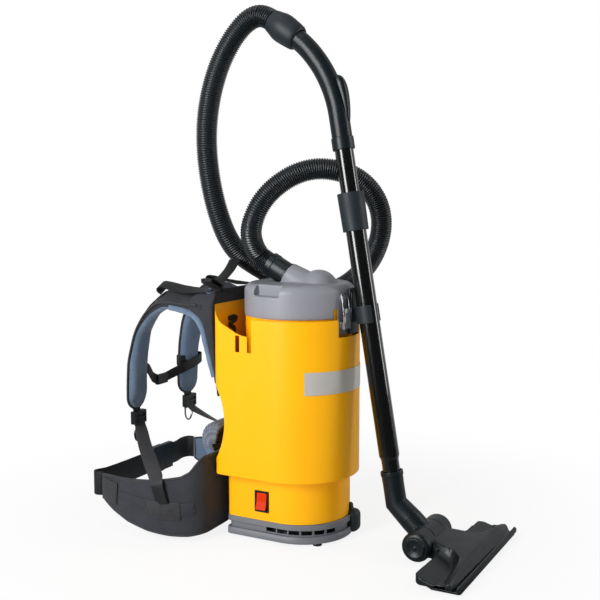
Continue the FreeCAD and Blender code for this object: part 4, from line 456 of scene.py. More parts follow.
# %% The hose's line
HOSE_ROUTE = [
    (0, 59.08, 478.22), (0, 78.51, 488.55), (-13, 86, 508), (-25, 86, 536), (-25, 76, 567),
    (-15, 63, 595), (0, 43, 619), (18, 17, 638), (38, -12, 647), (59, -43, 644), (79, -71, 632),
    (97, -92, 609), (112, -104, 577), (121, -104, 539), (127, -90, 498), (130, -65, 462),
    (132, -27, 431), (130, 21, 412), (119, 64, 417), (95, 96, 441), (65, 113, 461),
    (37, 124, 477), (11, 135, 496), (-7, 145, 523), (-20, 154, 561), (-30, 162, 609),
    (-36, 167, 662), (-37, 168, 714), (-31, 165, 765), (-22, 156, 813), (-14, 142, 851),
    (-7, 122, 884), (-2, 98, 907), (0, 71.0, 911.5), (0, 52.8, 899.1),
]
HOSE_JOIN = 19


def curve_of(name, kind, spots):
    """A curve object with one spline, whose points are given in metres."""
    data = bpy.data.curves.new(name, "CURVE")
    data.dimensions = "3D"
    spline = data.splines.new(kind)
    spline.points.add(len(spots) - 1)
    for point, spot in zip(spline.points, spots):
        point.co = (*spot, 1)
    return placed(name, data), spline


line, spline = curve_of("hose_line", "NURBS", [[v * MM for v in spot] for spot in HOSE_ROUTE])
spline.order_u = 3
spline.use_endpoint_u = True
spline.resolution_u = 24
bpy.context.view_layer.update()
hose_line = [vertex.co.copy() for vertex in bpy.data.meshes.new_from_object(line).vertices]
bpy.data.objects.remove(line)
print("hose line", len(hose_line), "points")

# %% [markdown]
# ### Its ribs
# The wall of such a hose is a thin profile wound round in a spiral, so from outside it is a row
# of round ribs, 4 mm apart. A ring is placed on the line for every step of the rib's outline, and
# turned as little as possible from the one before, so the tube doesn't twist. Two pieces share
# the line: the first runs from the lid to the join, the second from the handle back to it.

# %% Places along a line
def run_length(points):
    """The length of all the runs between some points."""
    return sum((b - a).length for a, b in zip(points, points[1:]))


def heading(points, index, ahead=1):
    """The direction of a line at one of its points."""
    return (points[min(index + ahead, len(points) - 1)] - points[max(index - 1, 0)]).normalized()


def line_frames(points, spacing):
    """Places along a line at the given distances, each with its direction and a side."""
    runs = [0.0]
    for a, b in zip(points, points[1:]):
        runs.append(runs[-1] + (b - a).length)
    frames, index, side = [], 0, None
    for distance in spacing:
        while index < len(points) - 2 and runs[index + 1] < distance:
            index += 1
        share = (distance - runs[index]) / (runs[index + 1] - runs[index])
        along = heading(points, index, 2)
        if side is None:
            side = along.orthogonal().normalized()
        side = (side - along * side.dot(along)).normalized()
        frames.append((points[index].lerp(points[index + 1], share), along, side))
    return frames


def spokes(side, other, sides):
    """Directions all round a circle, from side over other."""
    return [side * math.cos(math.tau * step / sides) + other * math.sin(math.tau * step / sides)
            for step in range(sides)]

# %% The ribbed tube
HOSE_RADIUS, RIB_PITCH, RIB_SIDES = 19.0, 4.0, 30
RIB_OUTLINE = ((0.0, 0.0), (0.2, 0.15), (0.42, 1.9), (0.62, 2.1), (0.82, 0.35))


def ribbed_tube(name, points):
    """A tube with round ribs along a line of points."""
    total = run_length(points)
    ribs = round(total / (RIB_PITCH * MM))
    stations = [((rib + share) / ribs * total, HOSE_RADIUS - drop)
                for rib in range(ribs) for share, drop in RIB_OUTLINE] + [(total, HOSE_RADIUS)]
    vertices, faces = [], []
    frames = line_frames(points, [distance for distance, radius in stations])
    for (spot, along, side), (distance, radius) in zip(frames, stations):
        vertices += [spot + ray * (radius * MM)
                     for ray in spokes(side, along.cross(side), RIB_SIDES)]
    last = (len(stations) - 1) * RIB_SIDES
    for ring in range(0, last, RIB_SIDES):
        for step in range(RIB_SIDES):
            first, second = ring + step, ring + (step + 1) % RIB_SIDES
            faces.append((first, second, second + RIB_SIDES, first + RIB_SIDES))
    faces += [tuple(reversed(range(RIB_SIDES))), tuple(range(last, last + RIB_SIDES))]
    mesh = bpy.data.meshes.new(name)
    mesh.from_pydata(vertices, [], faces)
    piece = smooth(placed(name, mesh), 70)
    piece.data.materials.append(hose_finish)
    print("made", name, "ribs", ribs, "length", round(total, 4))
    return piece, total

# %% The hose's two pieces
join_spot = Vector(HOSE_ROUTE[HOSE_JOIN]) * MM
join_index = min(range(len(hose_line)), key=lambda i: (hose_line[i] - join_spot).length)
for name, points, bodies, start, end in (
        ("hose_lid_side", hose_line[:join_index + 1], ("lid", "root"),
         (0.0, 0.0, 0.5), (0.085, 0.0, 0.5)),
        ("hose_handle_side", hose_line[:join_index - 1:-1], ("root", "handle"),
         (0.0, 0.14, 0.45), (0.0, 0.14, 0.89))):
    hose, length = ribbed_tube(name, points)
    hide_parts("hose")
    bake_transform(hose)

# %% [markdown]
# ## The sleeve
# The drum stands in a sleeve that is moulded in the same yellow plastic. The sleeve's rim is low
# only beside the harness: in front its wall rises to the lid, with a gap for the latch. So
# planes first cut the copy where the height changes, and the rim's points in front go up.

# %% Sleeve
RIM_LOW, RIM_HIGH, RIM_END = 361.5, 391.0, 37.0
LATCH_FROM, LATCH_TO = math.radians(-23.5), math.radians(13)
sleeve = cad_copy("drum_sleeve", "outer_sleeve")
cuts = [(mm(0, RIM_END + shift, 0), (0, 1, 0)) for shift in (0.0, 0.9)]
cuts += [((0, 0, 0), (math.cos(angle), math.sin(angle), 0))
         for angle in (LATCH_FROM, LATCH_FROM - 0.008, LATCH_TO, LATCH_TO + 0.008)]
for point, normal in cuts:
    edited(sleeve, bpy.ops.mesh.bisect, plane_co=point, plane_no=normal)
raised = 0
for vertex in sleeve.data.vertices:
    x, y, z = (value / MM for value in vertex.co)
    at_latch = y < 0 and LATCH_FROM - 0.004 < math.atan2(x, -y) < LATCH_TO + 0.004
    if abs(z - RIM_LOW) < 0.3 and y < RIM_END + 0.4 and not at_latch:
        vertex.co.z = RIM_HIGH * MM
        raised += 1
print("sleeve rim: raised", raised, "points")
finished(rounded(sleeve, 0.8, 3), yellow, nodes=["outer_sleeve"])

# %% [markdown]
# ## Mouldings that keep their solid's form
# A table names each copy, its node, finish, slot and body, how far its edges are rounded in
# millimetres, and in how many steps. The lid has no steps: its many small fillets can't be
# bevelled one by one, so its shape is rebuilt as an even skin of that fineness and relaxed, as the
# mould maker would round it. The chest buckle's copy is also made a little flatter than its solid.

# %% Pieces with rounded edges
SIMPLE = (
    ("drum_tank", "tank", yellow, "yellow_shell", "root", 0.6, 3),
    ("housing_motor", "motor_housing", yellow, "yellow_shell", "root", 0.8, 3),
    ("base_moulding", "base_ring", dark_grey, "grey_shell", "root", 0.45, 2),
    ("lid_moulding", "lid", grey, "grey_shell", "lid", 1.35, 0),
    ("cuff_at_lid", "hose_cuff_lid", black, "black_plastic", "lid_cuff", 0.5, 2),
    ("plate_bare", "label_plate", label_finish, "label_silver", "root", 0.25, 2),
    ("wand_tube_outer", "outer_tube", gloss_tube, "gloss_tube", "root", 0.4, 2),
    ("wand_tube_inner", "inner_tube", gloss_tube, "gloss_tube", "handle", 0.3, 2),
    ("wand_lock", "lock_sleeve", soft_black, "black_plastic", "lock", 0.8, 2),
    ("handle_ring", "handle_collar", black, "black_plastic", "handle", 0.8, 2),
    ("handle_bend", "handle_grip", black, "black_plastic", "handle", 0.5, 2),
    ("latch_base", "latch_bracket", plated, "steel_wire", "root", 0.25, 2),
    ("latch_flap", "latch_lever", plated, "steel_wire", "lever", 0.4, 2),
    ("knuckle_swivel", "knuckle", black, "black_plastic", "knuckle", 0.6, 2),
    ("sole", "sole_plate", black, "black_plastic", "head", 0.4, 2),
    ("switch_bezel", "switch_frame", black, "black_plastic", "root", 1.1, 2),
    ("switch_rocker", "rocker_switch", red, "rocker_red", "rocker", 0.6, 2),
    ("locks_of_straps", "ladder_locks", black, "black_plastic", "root", 0.8, 2),
    ("buckle_of_chest", "chest_buckle", black, "black_plastic", "root", 1.5, 2),
    ("buckle_socket", "waist_buckle_socket", black, "black_plastic", "root", 2.0, 2),
    ("buckle_plug", "waist_buckle_plug", black, "black_plastic", "root", 1.5, 2),
    ("hook_of_strap", "strap_hook", black, "black_plastic", "hook", 0.3, 2),
)
BUCKLE_MIDDLE, BUCKLE_LOWER, BUCKLE_SHARE = 0.249, 0.2485, 0.74
RELAX_PASSES, SKIN_SMOOTH_DEGREES = 5, 60
for name, node, finish, slot, body, round_mm, steps in SIMPLE:
    piece = cad_copy(name, node, flat=steps > 0)
    if node == "chest_buckle":
        for vertex in piece.data.vertices:
            vertex.co.z = BUCKLE_LOWER + (vertex.co.z - BUCKLE_MIDDLE) * BUCKLE_SHARE
    if steps:
        rounded(piece, round_mm, steps)
    else:
        smooth(remeshed(piece, round_mm, RELAX_PASSES), SKIN_SMOOTH_DEGREES)
    finished(piece, finish, body, [node])

# %% [markdown]
# ### Plates and blocks
# The wand's clip stands on a backing with a ridge, and the cord's entry is two blocks that are
# rebuilt as one skin. Yellow covers close the sleeve's back windows from inside, and behind the
# latch lies a sheet of plated steel that follows the drum's curve.

# %% Clip, cord entry, window covers and latch plate
def block(name, low, high, round_mm, steps=3):
    """A block between two corners in millimetres, with all its edges rounded."""
    deselect()
    bpy.ops.mesh.primitive_cube_add(size=1, location=(mm(*low) + mm(*high)) / 2,
                                    scale=mm(*high) - mm(*low))
    piece = apply_modifier(named(name), "BEVEL", width=round_mm * MM, segments=steps)
    return smooth(piece, 40)


clip = joined("clip_for_wand", rounded(cad_copy("clip_arms", "wand_clip"), 0.5),
              block("clip_backing", (-13, -104.2, 364), (24, -99.4, 443), 2.0),
              block("clip_ridge", (-10.5, -106.6, 372), (-6, -103, 436), 1.2))
finished(clip, soft_black, nodes=["wand_clip"])
entry = joined("cord_entry", block("entry_neck", (20, -92.5, 30), (34, -82, 56), 5.0),
               block("entry_bulge", (12, -105.5, 4), (41, -78, 45), 10.5, 6))
finished(smooth(remeshed(entry, 1.0, 12), 60), soft_black, nodes=["cord_inlet"])
covers = [block("cover", (x, 110.3, 346), (x + 37, 111.4, 392), 0.3, 1) for x in (-67, 30)]
finished(joined("window_covers", *covers), yellow)

PLATE_FROM, PLATE_TO, PLATE_ROUND = math.radians(-21.5), math.radians(-1.5), 98.2
deselect()
bpy.ops.mesh.primitive_grid_add(x_subdivisions=16, y_subdivisions=1, size=2)
plate = named("latch_plate")
for vertex in plate.data.vertices:
    angle = PLATE_FROM + (PLATE_TO - PLATE_FROM) * (vertex.co.x + 1) / 2
    vertex.co = mm(PLATE_ROUND * math.sin(angle), -PLATE_ROUND * math.cos(angle),
                   389.5 + 22.5 * vertex.co.y)
apply_modifier(face_out(plate), "SOLIDIFY", thickness=0.8 * MM, offset=0)
apply_modifier(plate, "BEVEL", width=0.25 * MM, segments=2, limit_method="ANGLE",
               angle_limit=math.radians(50))
finished(smooth(plate, 40), plated)

# %% [markdown]
# ### Nodes that keep their shape
# The other solids are right as they are, so their objects stay and only get a real finish.

# %% Finishes of the CAD nodes that stay
KEPT = {
    "base_plate": dark_grey, "base_screws": zinc, "brush_strips": bristle, "cloth_filter": felt,
    "dust_bag": paper, "exhaust_filter": foam, "filter_ring": black, "impeller": fan_metal,
    "latch_bail": zinc, "lid_gasket": rubber, "motor_armature": copper,
    "motor_bearings": motor_steel, "motor_fan_case": black, "motor_frame": motor_steel,
    "motor_seals": rubber, "motor_shaft": motor_steel, "motor_stator": motor_steel,
    "rubber_feet": rubber, "strap_ring": zinc,
}
for node, finish in KEPT.items():
    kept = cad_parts[node].data.materials
    kept.clear()
    kept.append(finish)
print("CAD nodes with a finish of their own", len(KEPT))

# %% [markdown]
# ## Helpers for sewn things
# A pad is two skins of cloth with foam between them, sewn together at the rim. It is modelled as
# a grid that is laid where the outer skin goes. Solidify makes the second skin, and a vertex
# group tells it how thick the foam is at each place. A cloth simulation with air pressure in it
# finds how the skins really swell between the seams, which stay pinned.

# %% Lines and tables
def smooth_line(places, spacing_mm):
    """Places at an even spacing along a smooth line through the given ones."""
    dense, last = [], len(places) - 1
    for index in range(last):
        a, b, c, d = (places[i] for i in (max(index - 1, 0), index, index + 1, min(index + 2, last)))
        for t in (step / 16 for step in range(16)):
            dense.append(0.5 * (2 * b + (c - a) * t + (2 * a - 5 * b + 4 * c - d) * t ** 2
                                + (3 * b - a - 3 * c + d) * t ** 3))
    dense.append(places[-1])
    total = run_length(dense)
    count = max(2, round(total / (spacing_mm * MM)))
    frames = line_frames(dense, [total * step / count for step in range(count + 1)])
    return [spot for spot, along, side in frames]


def on_line(line, u):
    """The place and the direction at a share of a line, from 0 to 1."""
    exact = u * (len(line) - 1)
    index = min(int(exact), len(line) - 2)
    return line[index].lerp(line[index + 1], exact - index), heading(line, index, 2)


def between(table, value):
    """A value read from a table by straight steps."""
    for (x0, y0), (x1, y1) in zip(table, table[1:]):
        if value <= x1:
            return y0 + (y1 - y0) * max(0.0, (value - x0) / (x1 - x0))
    return table[-1][1]

# %% A panel: a grid, its flat cloth, and a second skin
def cloth_map(mesh, rule):
    """A UV map in metres. rule gives a vertex's place on the flat cloth."""
    for layer in list(mesh.uv_layers):
        mesh.uv_layers.remove(layer)
    cloth = mesh.uv_layers.new(name="cloth")
    for loop in mesh.loops:
        cloth.data[loop.index].uv = rule(loop.vertex_index)


def panel(name, rows, columns, rules, thick_mm, cut, skins):
    """A padded panel. rules are functions of u and v from 0 to 1: where the outer skin goes, the
    share of the full thickness, and the share to which a point is pinned. cut is the size of
    the flat cloth in metres, and skins are the finishes of the outer and inner cloth."""
    deselect()
    bpy.ops.mesh.primitive_grid_add(x_subdivisions=columns, y_subdivisions=rows, size=2)
    piece = named(name)
    groups = [piece.vertex_groups.new(name=kind) for kind in ("foam", "seam")]
    flat = [((v.co.x + 1) / 2, (v.co.y + 1) / 2) for v in piece.data.vertices]
    cloth_map(piece.data, lambda index: (flat[index][0] * cut[0], flat[index][1] * cut[1]))
    for vertex, (u, v) in zip(piece.data.vertices, flat):
        vertex.co = rules[0](u, v)
        for group, rule in zip(groups, rules[1:]):
            group.add([vertex.index], rule(u, v), "REPLACE")
    for finish in skins:
        piece.data.materials.append(finish)
    return apply_modifier(piece, "SOLIDIFY", thickness=thick_mm * MM, offset=-1,
                          vertex_group="foam", thickness_vertex_group=0.0, material_offset=1,
                          material_offset_rim=0, use_even_offset=False)

# %% Air pressure, creases and filling
def swell(piece, pressure, cap_mm, frames=16):
    """Let air pressure fill a panel between its pinned seams, and cap how far a point moves. A
    point that the simulation has lost goes back to its start."""
    rest = [vertex.co.copy() for vertex in piece.data.vertices]
    pick(piece)
    modifier = piece.modifiers.new("cloth", "CLOTH")
    settings = modifier.settings
    settings.quality = 4
    settings.mass = 0.3
    settings.use_pressure = True
    settings.uniform_pressure_force = pressure
    settings.effector_weights.gravity = 0
    settings.vertex_group_mass = "seam"
    settings.tension_stiffness = settings.compression_stiffness = 12
    settings.bending_stiffness = 0.6
    modifier.point_cache.frame_end = frames
    for frame_number in range(1, frames + 1):
        bpy.context.scene.frame_set(frame_number)
    bpy.ops.object.modifier_apply(modifier=modifier.name)
    bpy.context.scene.frame_set(1)
    for vertex, start in zip(piece.data.vertices, rest):
        step = vertex.co - start
        if not step.length < 1:
            vertex.co = start
        elif step.length > cap_mm * MM:
            vertex.co = start + step * (cap_mm * MM / step.length)
    moved = max((v.co - start).length for v, start in zip(piece.data.vertices, rest))
    print("swelled", piece.name, "by up to", round(moved / MM, 1), "mm")


def crumple(piece, size_mm, depth_mm):
    """Shift the skin a little by a soft noise, as cloth that has been worn and packed."""
    clouds = bpy.data.textures.new("clouds", "CLOUDS")
    clouds.noise_scale = size_mm * MM
    clouds.noise_depth = 2
    apply_modifier(piece, "DISPLACE", texture=clouds, texture_coords="LOCAL",
                   strength=depth_mm * MM, mid_level=0.5)
    bpy.data.textures.remove(clouds)


def subdivided(piece):
    """Halve the faces once, with the surface rounded between them."""
    apply_modifier(piece, "SUBSURF", levels=1, render_levels=1)
    return smooth(piece, 75)


def upholstered(piece, creases, nodes=(), air=None):
    """Finish a pad. air is the pressure and the cap of its swelling, and creases their size
    and depth."""
    if air:
        swell(piece, *air)
    subdivided(piece)
    crumple(piece, *creases)
    finished(piece, None, nodes=nodes)
    return piece

# %% [markdown]
# ### Straps, piping and stitches
# A flat strap is a plane whose far edge is extruded from place to place. Extruding keeps each
# vertex's number, which says where the new one goes. Straps, tubes, caps and rims
# are all made so. Piping is a curve with a round section, and stitches are many small copies of
# one shape, turned along the seam.

# %% Flat straps
def numbered(piece, rule):
    """Number the vertices of an edited mesh. rule gives a number, a place and if it is picked."""
    work = bmesh.from_edit_mesh(piece.data)
    tag = work.verts.layers.int.new("step")
    for vertex in work.verts:
        vertex[tag], vertex.co, vertex.select = rule(vertex)
    work.select_flush_mode()
    for edge in work.edges:
        edge.select = all(vertex.select for vertex in edge.verts)
    bmesh.update_edit_mesh(piece.data)


def extruded(piece, rings):
    """Extrude the picked edges of an edited mesh from one list of places to the next."""
    for ring in rings:
        bpy.ops.mesh.extrude_edges_move()
        work = bmesh.from_edit_mesh(piece.data)
        tag = work.verts.layers.int["step"]
        for vertex in work.verts:
            if vertex.select:
                vertex.co = ring[vertex[tag]]
        bmesh.update_edit_mesh(piece.data)


def strip(name, spots, across, width_mm, thick_mm, finish):
    """A flat strap through places, each with the direction of its width there. A direction that
    turns over at a sharp fold is turned back, so that the strap isn't twisted."""
    rings, way = [], across[0]
    for spot, side in zip(spots, across):
        way = side if side.dot(way) > 0 else -side
        rings.append((spot - way * (width_mm * MM / 2), spot + way * (width_mm * MM / 2)))
    deselect()
    bpy.ops.mesh.primitive_plane_add(size=2)
    piece = named(name)
    edit("EDGE")
    numbered(piece, lambda v: (int(v.co.x > 0), rings[v.co.y > 0][v.co.x > 0], v.co.y > 0))
    extruded(piece, rings[2:])
    bpy.ops.object.mode_set(mode="OBJECT")
    runs = [run_length(spots[:index + 1]) for index in range(len(spots))]
    places = []
    for vertex in piece.data.vertices:
        index = min(range(len(spots)), key=lambda i: (spots[i] - vertex.co).length)
        places.append((runs[index], (vertex.co - spots[index]).dot(across[index])))
    cloth_map(piece.data, lambda index: places[index])
    apply_modifier(piece, "SOLIDIFY", thickness=thick_mm * MM, offset=0)
    apply_modifier(piece, "BEVEL", width=0.3 * thick_mm * MM, segments=2, limit_method="ANGLE",
                   angle_limit=math.radians(60), use_clamp_overlap=False)
    piece.data.materials.append(finish)
    return smooth(piece, 45)


def square_to(along, wide):
    """The part of a direction that is square to another."""
    return (wide - along * along.dot(wide)).normalized()


def flat_strap(name, places, side, width_mm, thick_mm, finish, spacing_mm=5.0):
    """A strap through a few places in millimetres, its width square to its run and near side."""
    spots = smooth_line([mm(*place) for place in places], spacing_mm)
    across = [square_to(heading(spots, index), Vector(side)) for index in range(len(spots))]
    return strip(name, spots, across, width_mm, thick_mm, finish)

# %% Piping
def clothed(piece, finish, degrees):
    """Lay each face of a small piece on flat cloth, along the two axes that it faces least."""
    mesh = piece.data
    layer = mesh.uv_layers.get("cloth") or mesh.uv_layers.new(name="cloth")
    for face in mesh.polygons:
        size = [abs(value) for value in face.normal]
        widest = size.index(max(size))
        for loop in face.loop_indices:
            spot = mesh.vertices[mesh.loops[loop].vertex_index].co
            layer.data[loop].uv = [spot[axis] for axis in range(3) if axis != widest]
    mesh.materials.append(finish)
    return smooth(piece, degrees)


def piping(name, spots, radius_mm, finish, closed=False):
    """A round bound edge along a line of places."""
    piece, run = curve_of(name, "POLY", spots)
    run.use_cyclic_u = closed
    piece.data.bevel_depth = radius_mm * MM
    piece.data.bevel_resolution = 2
    piece.data.use_fill_caps = True
    pick(piece)
    bpy.ops.object.convert(target="MESH")
    return clothed(piece, finish, 60)

# %% Stitches, and the skin that they lie on
STITCH_LONG, STITCH_ROUND, STITCH_PITCH = 1.5, 0.4, 4.0
deselect()
bpy.ops.mesh.primitive_uv_sphere_add(segments=6, ring_count=4, radius=1.0)
stitch_shape = named("stitch_shape")
stitch_mesh = stitch_shape.data
for vertex in stitch_mesh.vertices:
    vertex.co = (vertex.co.x * STITCH_LONG * MM, vertex.co.y * STITCH_ROUND * MM,
                 vertex.co.z * STITCH_ROUND * MM)
bpy.data.objects.remove(stitch_shape)


def stitches(name, lines):
    """Rows of lock stitches. Each line is a list of (place, normal)."""
    gathered = bmesh.new()
    for row in lines:
        spots = [spot for spot, normal in row]
        total = run_length(spots)
        count = max(1, int(total / (STITCH_PITCH * MM)))
        frames = line_frames(spots, [total * (step + 0.5) / count for step in range(count)])
        for spot, along, side in frames:
            normal = min(row, key=lambda pair: (pair[0] - spot).length)[1]
            up = square_to(along, normal)
            turn = Matrix((along, up.cross(along), up)).transposed().to_4x4()
            before = len(gathered.verts)
            gathered.from_mesh(stitch_mesh)
            gathered.verts.ensure_lookup_table()
            bmesh.ops.transform(gathered, matrix=Matrix.Translation(spot) @ turn,
                                verts=gathered.verts[before:])
    mesh = bpy.data.meshes.new(name)
    gathered.to_mesh(mesh)
    gathered.free()
    return finished(clothed(placed(name, mesh), thread, 80), None)


def skin_row(piece, starts, direction, lift_mm):
    """Where rays meet a piece's surface: a list of (place, normal), lifted off the skin."""
    hits = [piece.ray_cast(start, Vector(direction)) for start in starts]
    return [(spot + normal * (lift_mm * MM), normal) for hit, spot, normal, face in hits if hit]

# %% [markdown]
# ## The hip belt
# The belt is one long padded panel: it runs behind the machine and bends forward into a wing
# on each side. Its outer cloth is charcoal and fairly flat, and the soft blue-grey lining bulges
# towards the wearer. The rim is bound with a ribbed tape.

# %% The belt's line, its padded panel and its bound rim
BELT_THICK, BELT_ROWS, BELT_INNER, BELT_BACK = 13.0, 18, 0.112, 120.8
WING_LINE = ((112.3, BELT_BACK), (126, 121.5), (142, 131), (154, 150), (162, 175), (166, 205),
             (163, 252), (154, 298), (146, 326))
WING_TOP = ((104, 147), (122, 149), (136, 124), (150, 115), (175, 110), (205, 105), (257, 99),
            (300, 97), (327, 95))
WING_LOW = ((104, 33), (113, 16), (140, 12), (170, 12), (215, 16), (258, 24), (294, 36),
            (315, 46), (327, 54))
belt_spots = [(-x, y) for x, y in reversed(WING_LINE)]
belt_spots += [(x, BELT_BACK) for x in (-60, 0, 60)] + list(WING_LINE)
belt_line = smooth_line([mm(x, y, 0) for x, y in belt_spots], 5.5)


def belt_frame(u):
    """On the belt's line: the place, the outward direction, and the heights of both edges."""
    spot, along = on_line(belt_line, u)
    aside = abs(spot.x)
    inner = max(0.0, 1 - aside / BELT_INNER)
    reach = BELT_BACK - 16 * inner if inner else spot.y / MM
    return spot, Vector((along.y, -along.x, 0)), between(WING_TOP, reach), between(WING_LOW, reach)


def belt_place(u, v):
    """The outer skin of the belt, slightly crowned between its edges."""
    spot, outward, high, low = belt_frame(u)
    crown = 2.2 * (1 - (2 * v - 1) ** 2)
    side = outward * ((BELT_THICK / 2 - 3.2 + crown) * MM)
    return Vector((spot.x + side.x, spot.y + side.y, (low + (high - low) * v) * MM))


def belt_foam(u, v):
    """Foam: full in the middle, thin at the rim."""
    rim = min(1.0, (1 - abs(2 * v - 1)) * 3.2)
    tip = min(1.0, min(u, 1 - u) * 22)
    return 0.26 + 0.62 * math.sqrt(rim * tip)


def belt_seam(u, v):
    """The rim is pinned, and so is the back, which lies on the machine."""
    near_rim = abs(2 * v - 1) > 0.93 or min(u, 1 - u) < 0.01
    return 1.0 if near_rim or abs(belt_frame(u)[0].x) < 0.118 else 0.0


belt = panel("belt_padded", BELT_ROWS, len(belt_line) - 1, (belt_place, belt_foam, belt_seam),
             BELT_THICK, (run_length(belt_line), 0.1), (charcoal, lining))
upholstered(belt, (26, 1.3), ["hip_belt_back", "hip_belt_wings"], air=(3.0, 3.5))
rim = [belt_place(step / 150, v) - belt_frame(step / 150)[1] * (1.6 * MM)
       for v, steps in ((0, range(151)), (1, range(150, -1, -1))) for step in steps]
finished(piping("belt_binding", rim, 2.5, binding, closed=True), None)

# %% [markdown]
# ### What is sewn on the belt
# A long webbing runs along each wing, a box-stitched patch holds it where the shoulder strap's
# webbing ends, and a folded tab with a crossed seam holds the waist webbing at the tip. Rays
# shot at the finished belt find its skin, so each strap follows every swelling.

# %% Webbing, patches and tabs on the wings
SIDES = ((-1, "near"), (1, "far"))
RAYS_FROM, BOX_STEP = 260.0, 6.0


def wing_row(side, places, lift_mm):
    """Where places (y, z) in millimetres meet the outer skin of one wing."""
    starts = [mm(side * RAYS_FROM, y, z) for y, z in places]
    return skin_row(belt, starts, (-side, 0, 0), lift_mm)


def sewn_strap(name, side, places, width_mm, thick_mm, finish):
    """A strap that lies on a wing through places (y, z), with its width upright."""
    dense = smooth_line([mm(0, y, z) for y, z in places], BOX_STEP)
    row = wing_row(side, [(spot.y / MM, spot.z / MM) for spot in dense], thick_mm / 2)
    spots = [spot for spot, normal in row]
    across = [normal.cross(heading(spots, index)).normalized()
              for index, (spot, normal) in enumerate(row)]
    finished(strip(name, spots, across, width_mm, thick_mm, finish), None)


def wing_box(side, y_low, y_high, z_low, z_high, crossed, lift_mm):
    """The stitch lines of a box on a wing, with a cross in it if it holds a load."""
    corners = [(y_low, z_low), (y_high, z_low), (y_high, z_high), (y_low, z_high), (y_low, z_low)]
    runs = list(zip(corners, corners[1:]))
    if crossed:
        runs += [(corners[0], corners[2]), (corners[1], corners[3])]
    lines = []
    for (y0, z0), (y1, z1) in runs:
        steps = max(3, round(math.hypot(y1 - y0, z1 - z0) / BOX_STEP))
        places = [(y0 + (y1 - y0) * s / steps, z0 + (z1 - z0) * s / steps)
                  for s in range(steps + 1)]
        lines.append(wing_row(side, places, lift_mm))
    return lines


BAND = [(128, 62), (148, 59), (182, 58), (216, 61), (250, 63), (276, 65)]
for side, tag in SIDES:
    sewn_strap("belt_band_" + tag, side, BAND, 22, 1.2, charcoal)
    sewn_strap("belt_patch_" + tag, side, [(149, 57), (182, 56), (214, 57)], 31, 2.2, binding)
    sewn_strap("belt_tab_" + tag, side, [(282, 68), (304, 70), (322, 72)], 40, 2.4, binding)
    rows = wing_box(side, 151, 180, 44, 69, True, 2.9)
    rows += wing_box(side, 184, 212, 44, 69, False, 2.9)
    rows += wing_box(side, 284, 318, 55, 84, True, 3.0)
    rows += [wing_row(side, [(y, z + shift) for y, z in BAND], 1.6) for shift in (-9.5, 9.5)]
    top = [belt_place(0.5 + side * (0.36 + 0.62 * step / 60) / 2, 0.9) for step in range(61)]
    rows.append(wing_row(side, [(spot.y / MM, spot.z / MM) for spot in top], 0.3))
    stitches("belt_stitches_" + tag, [row for row in rows if len(row) > 1])

# %% [markdown]
# ## The shoulder straps
# Each strap rises from the back pad, goes over the shoulder and down the chest. Its outer cloth
# is nearly flat along the curve, and the lined foam bulges inwards, so that its pale lining shows
# from the side too. Its lower end is cut round like a tongue.

# %% Padded shoulder straps
STRAP_OUTER = ((134.8, 415), (160, 421), (184, 425.5), (208, 427), (233, 423), (259, 403),
               (276, 379), (287, 355), (294, 327), (299, 299), (302, 252), (302, 208))
STRAP_MIDDLE, STRAP_HALF, STRAP_THICK = 82.5, 28.5, 26.0
strap_line = smooth_line([mm(0, y, z) for y, z in STRAP_OUTER], 5.5)
strap_length = run_length(strap_line)


def strap_frame(u):
    """On the strap's outer line: the place and the direction towards the wearer."""
    spot, along = on_line(strap_line, u)
    return spot, Vector((0, along.z, -along.y))


def strap_lean(u, side, offset_mm):
    """The way from the strap's middle to a place beside it. The strap leans outwards, most over
    the shoulder and little on the chest."""
    over = min(1.0, max(0.0, (0.74 - u) / 0.5))
    roll = math.radians(4 + 20 * over * min(1.0, u * 7))
    return (Vector((offset_mm * math.cos(roll), 0, 0))
            + strap_frame(u)[1] * (side * offset_mm * math.sin(roll))) * MM


def strap_half(u):
    """Half the strap's width: round at the lower end, a little narrower at the top."""
    left = (1 - u) * strap_length / MM
    end = math.sqrt(max(0.06, 1 - (1 - min(1.0, left / 24)) ** 2))
    return STRAP_HALF * end * (0.93 + 0.07 * min(1.0, u * 4))


def strap_foam(u, v):
    """Foam: thick to its very edge over the shoulder, and a pillow across the strap below."""
    across = (1 - abs(2 * v - 1) ** 3.2) ** 0.55
    chest = 0.14 + 0.46 * across * min(1.0, 0.2 + (1 - u) * 9)
    shoulder = 0.5 + 0.45 * across
    return chest + (shoulder - chest) * min(1.0, max(0.0, (0.56 - u) / 0.26))


def strap_seam(u, v):
    """The rim and a cross seam near the lower end are pinned."""
    sewn = abs(u - 0.86) < 0.006
    return 1.0 if abs(2 * v - 1) > 0.9 or u < 0.02 or u > 0.985 or sewn else 0.0


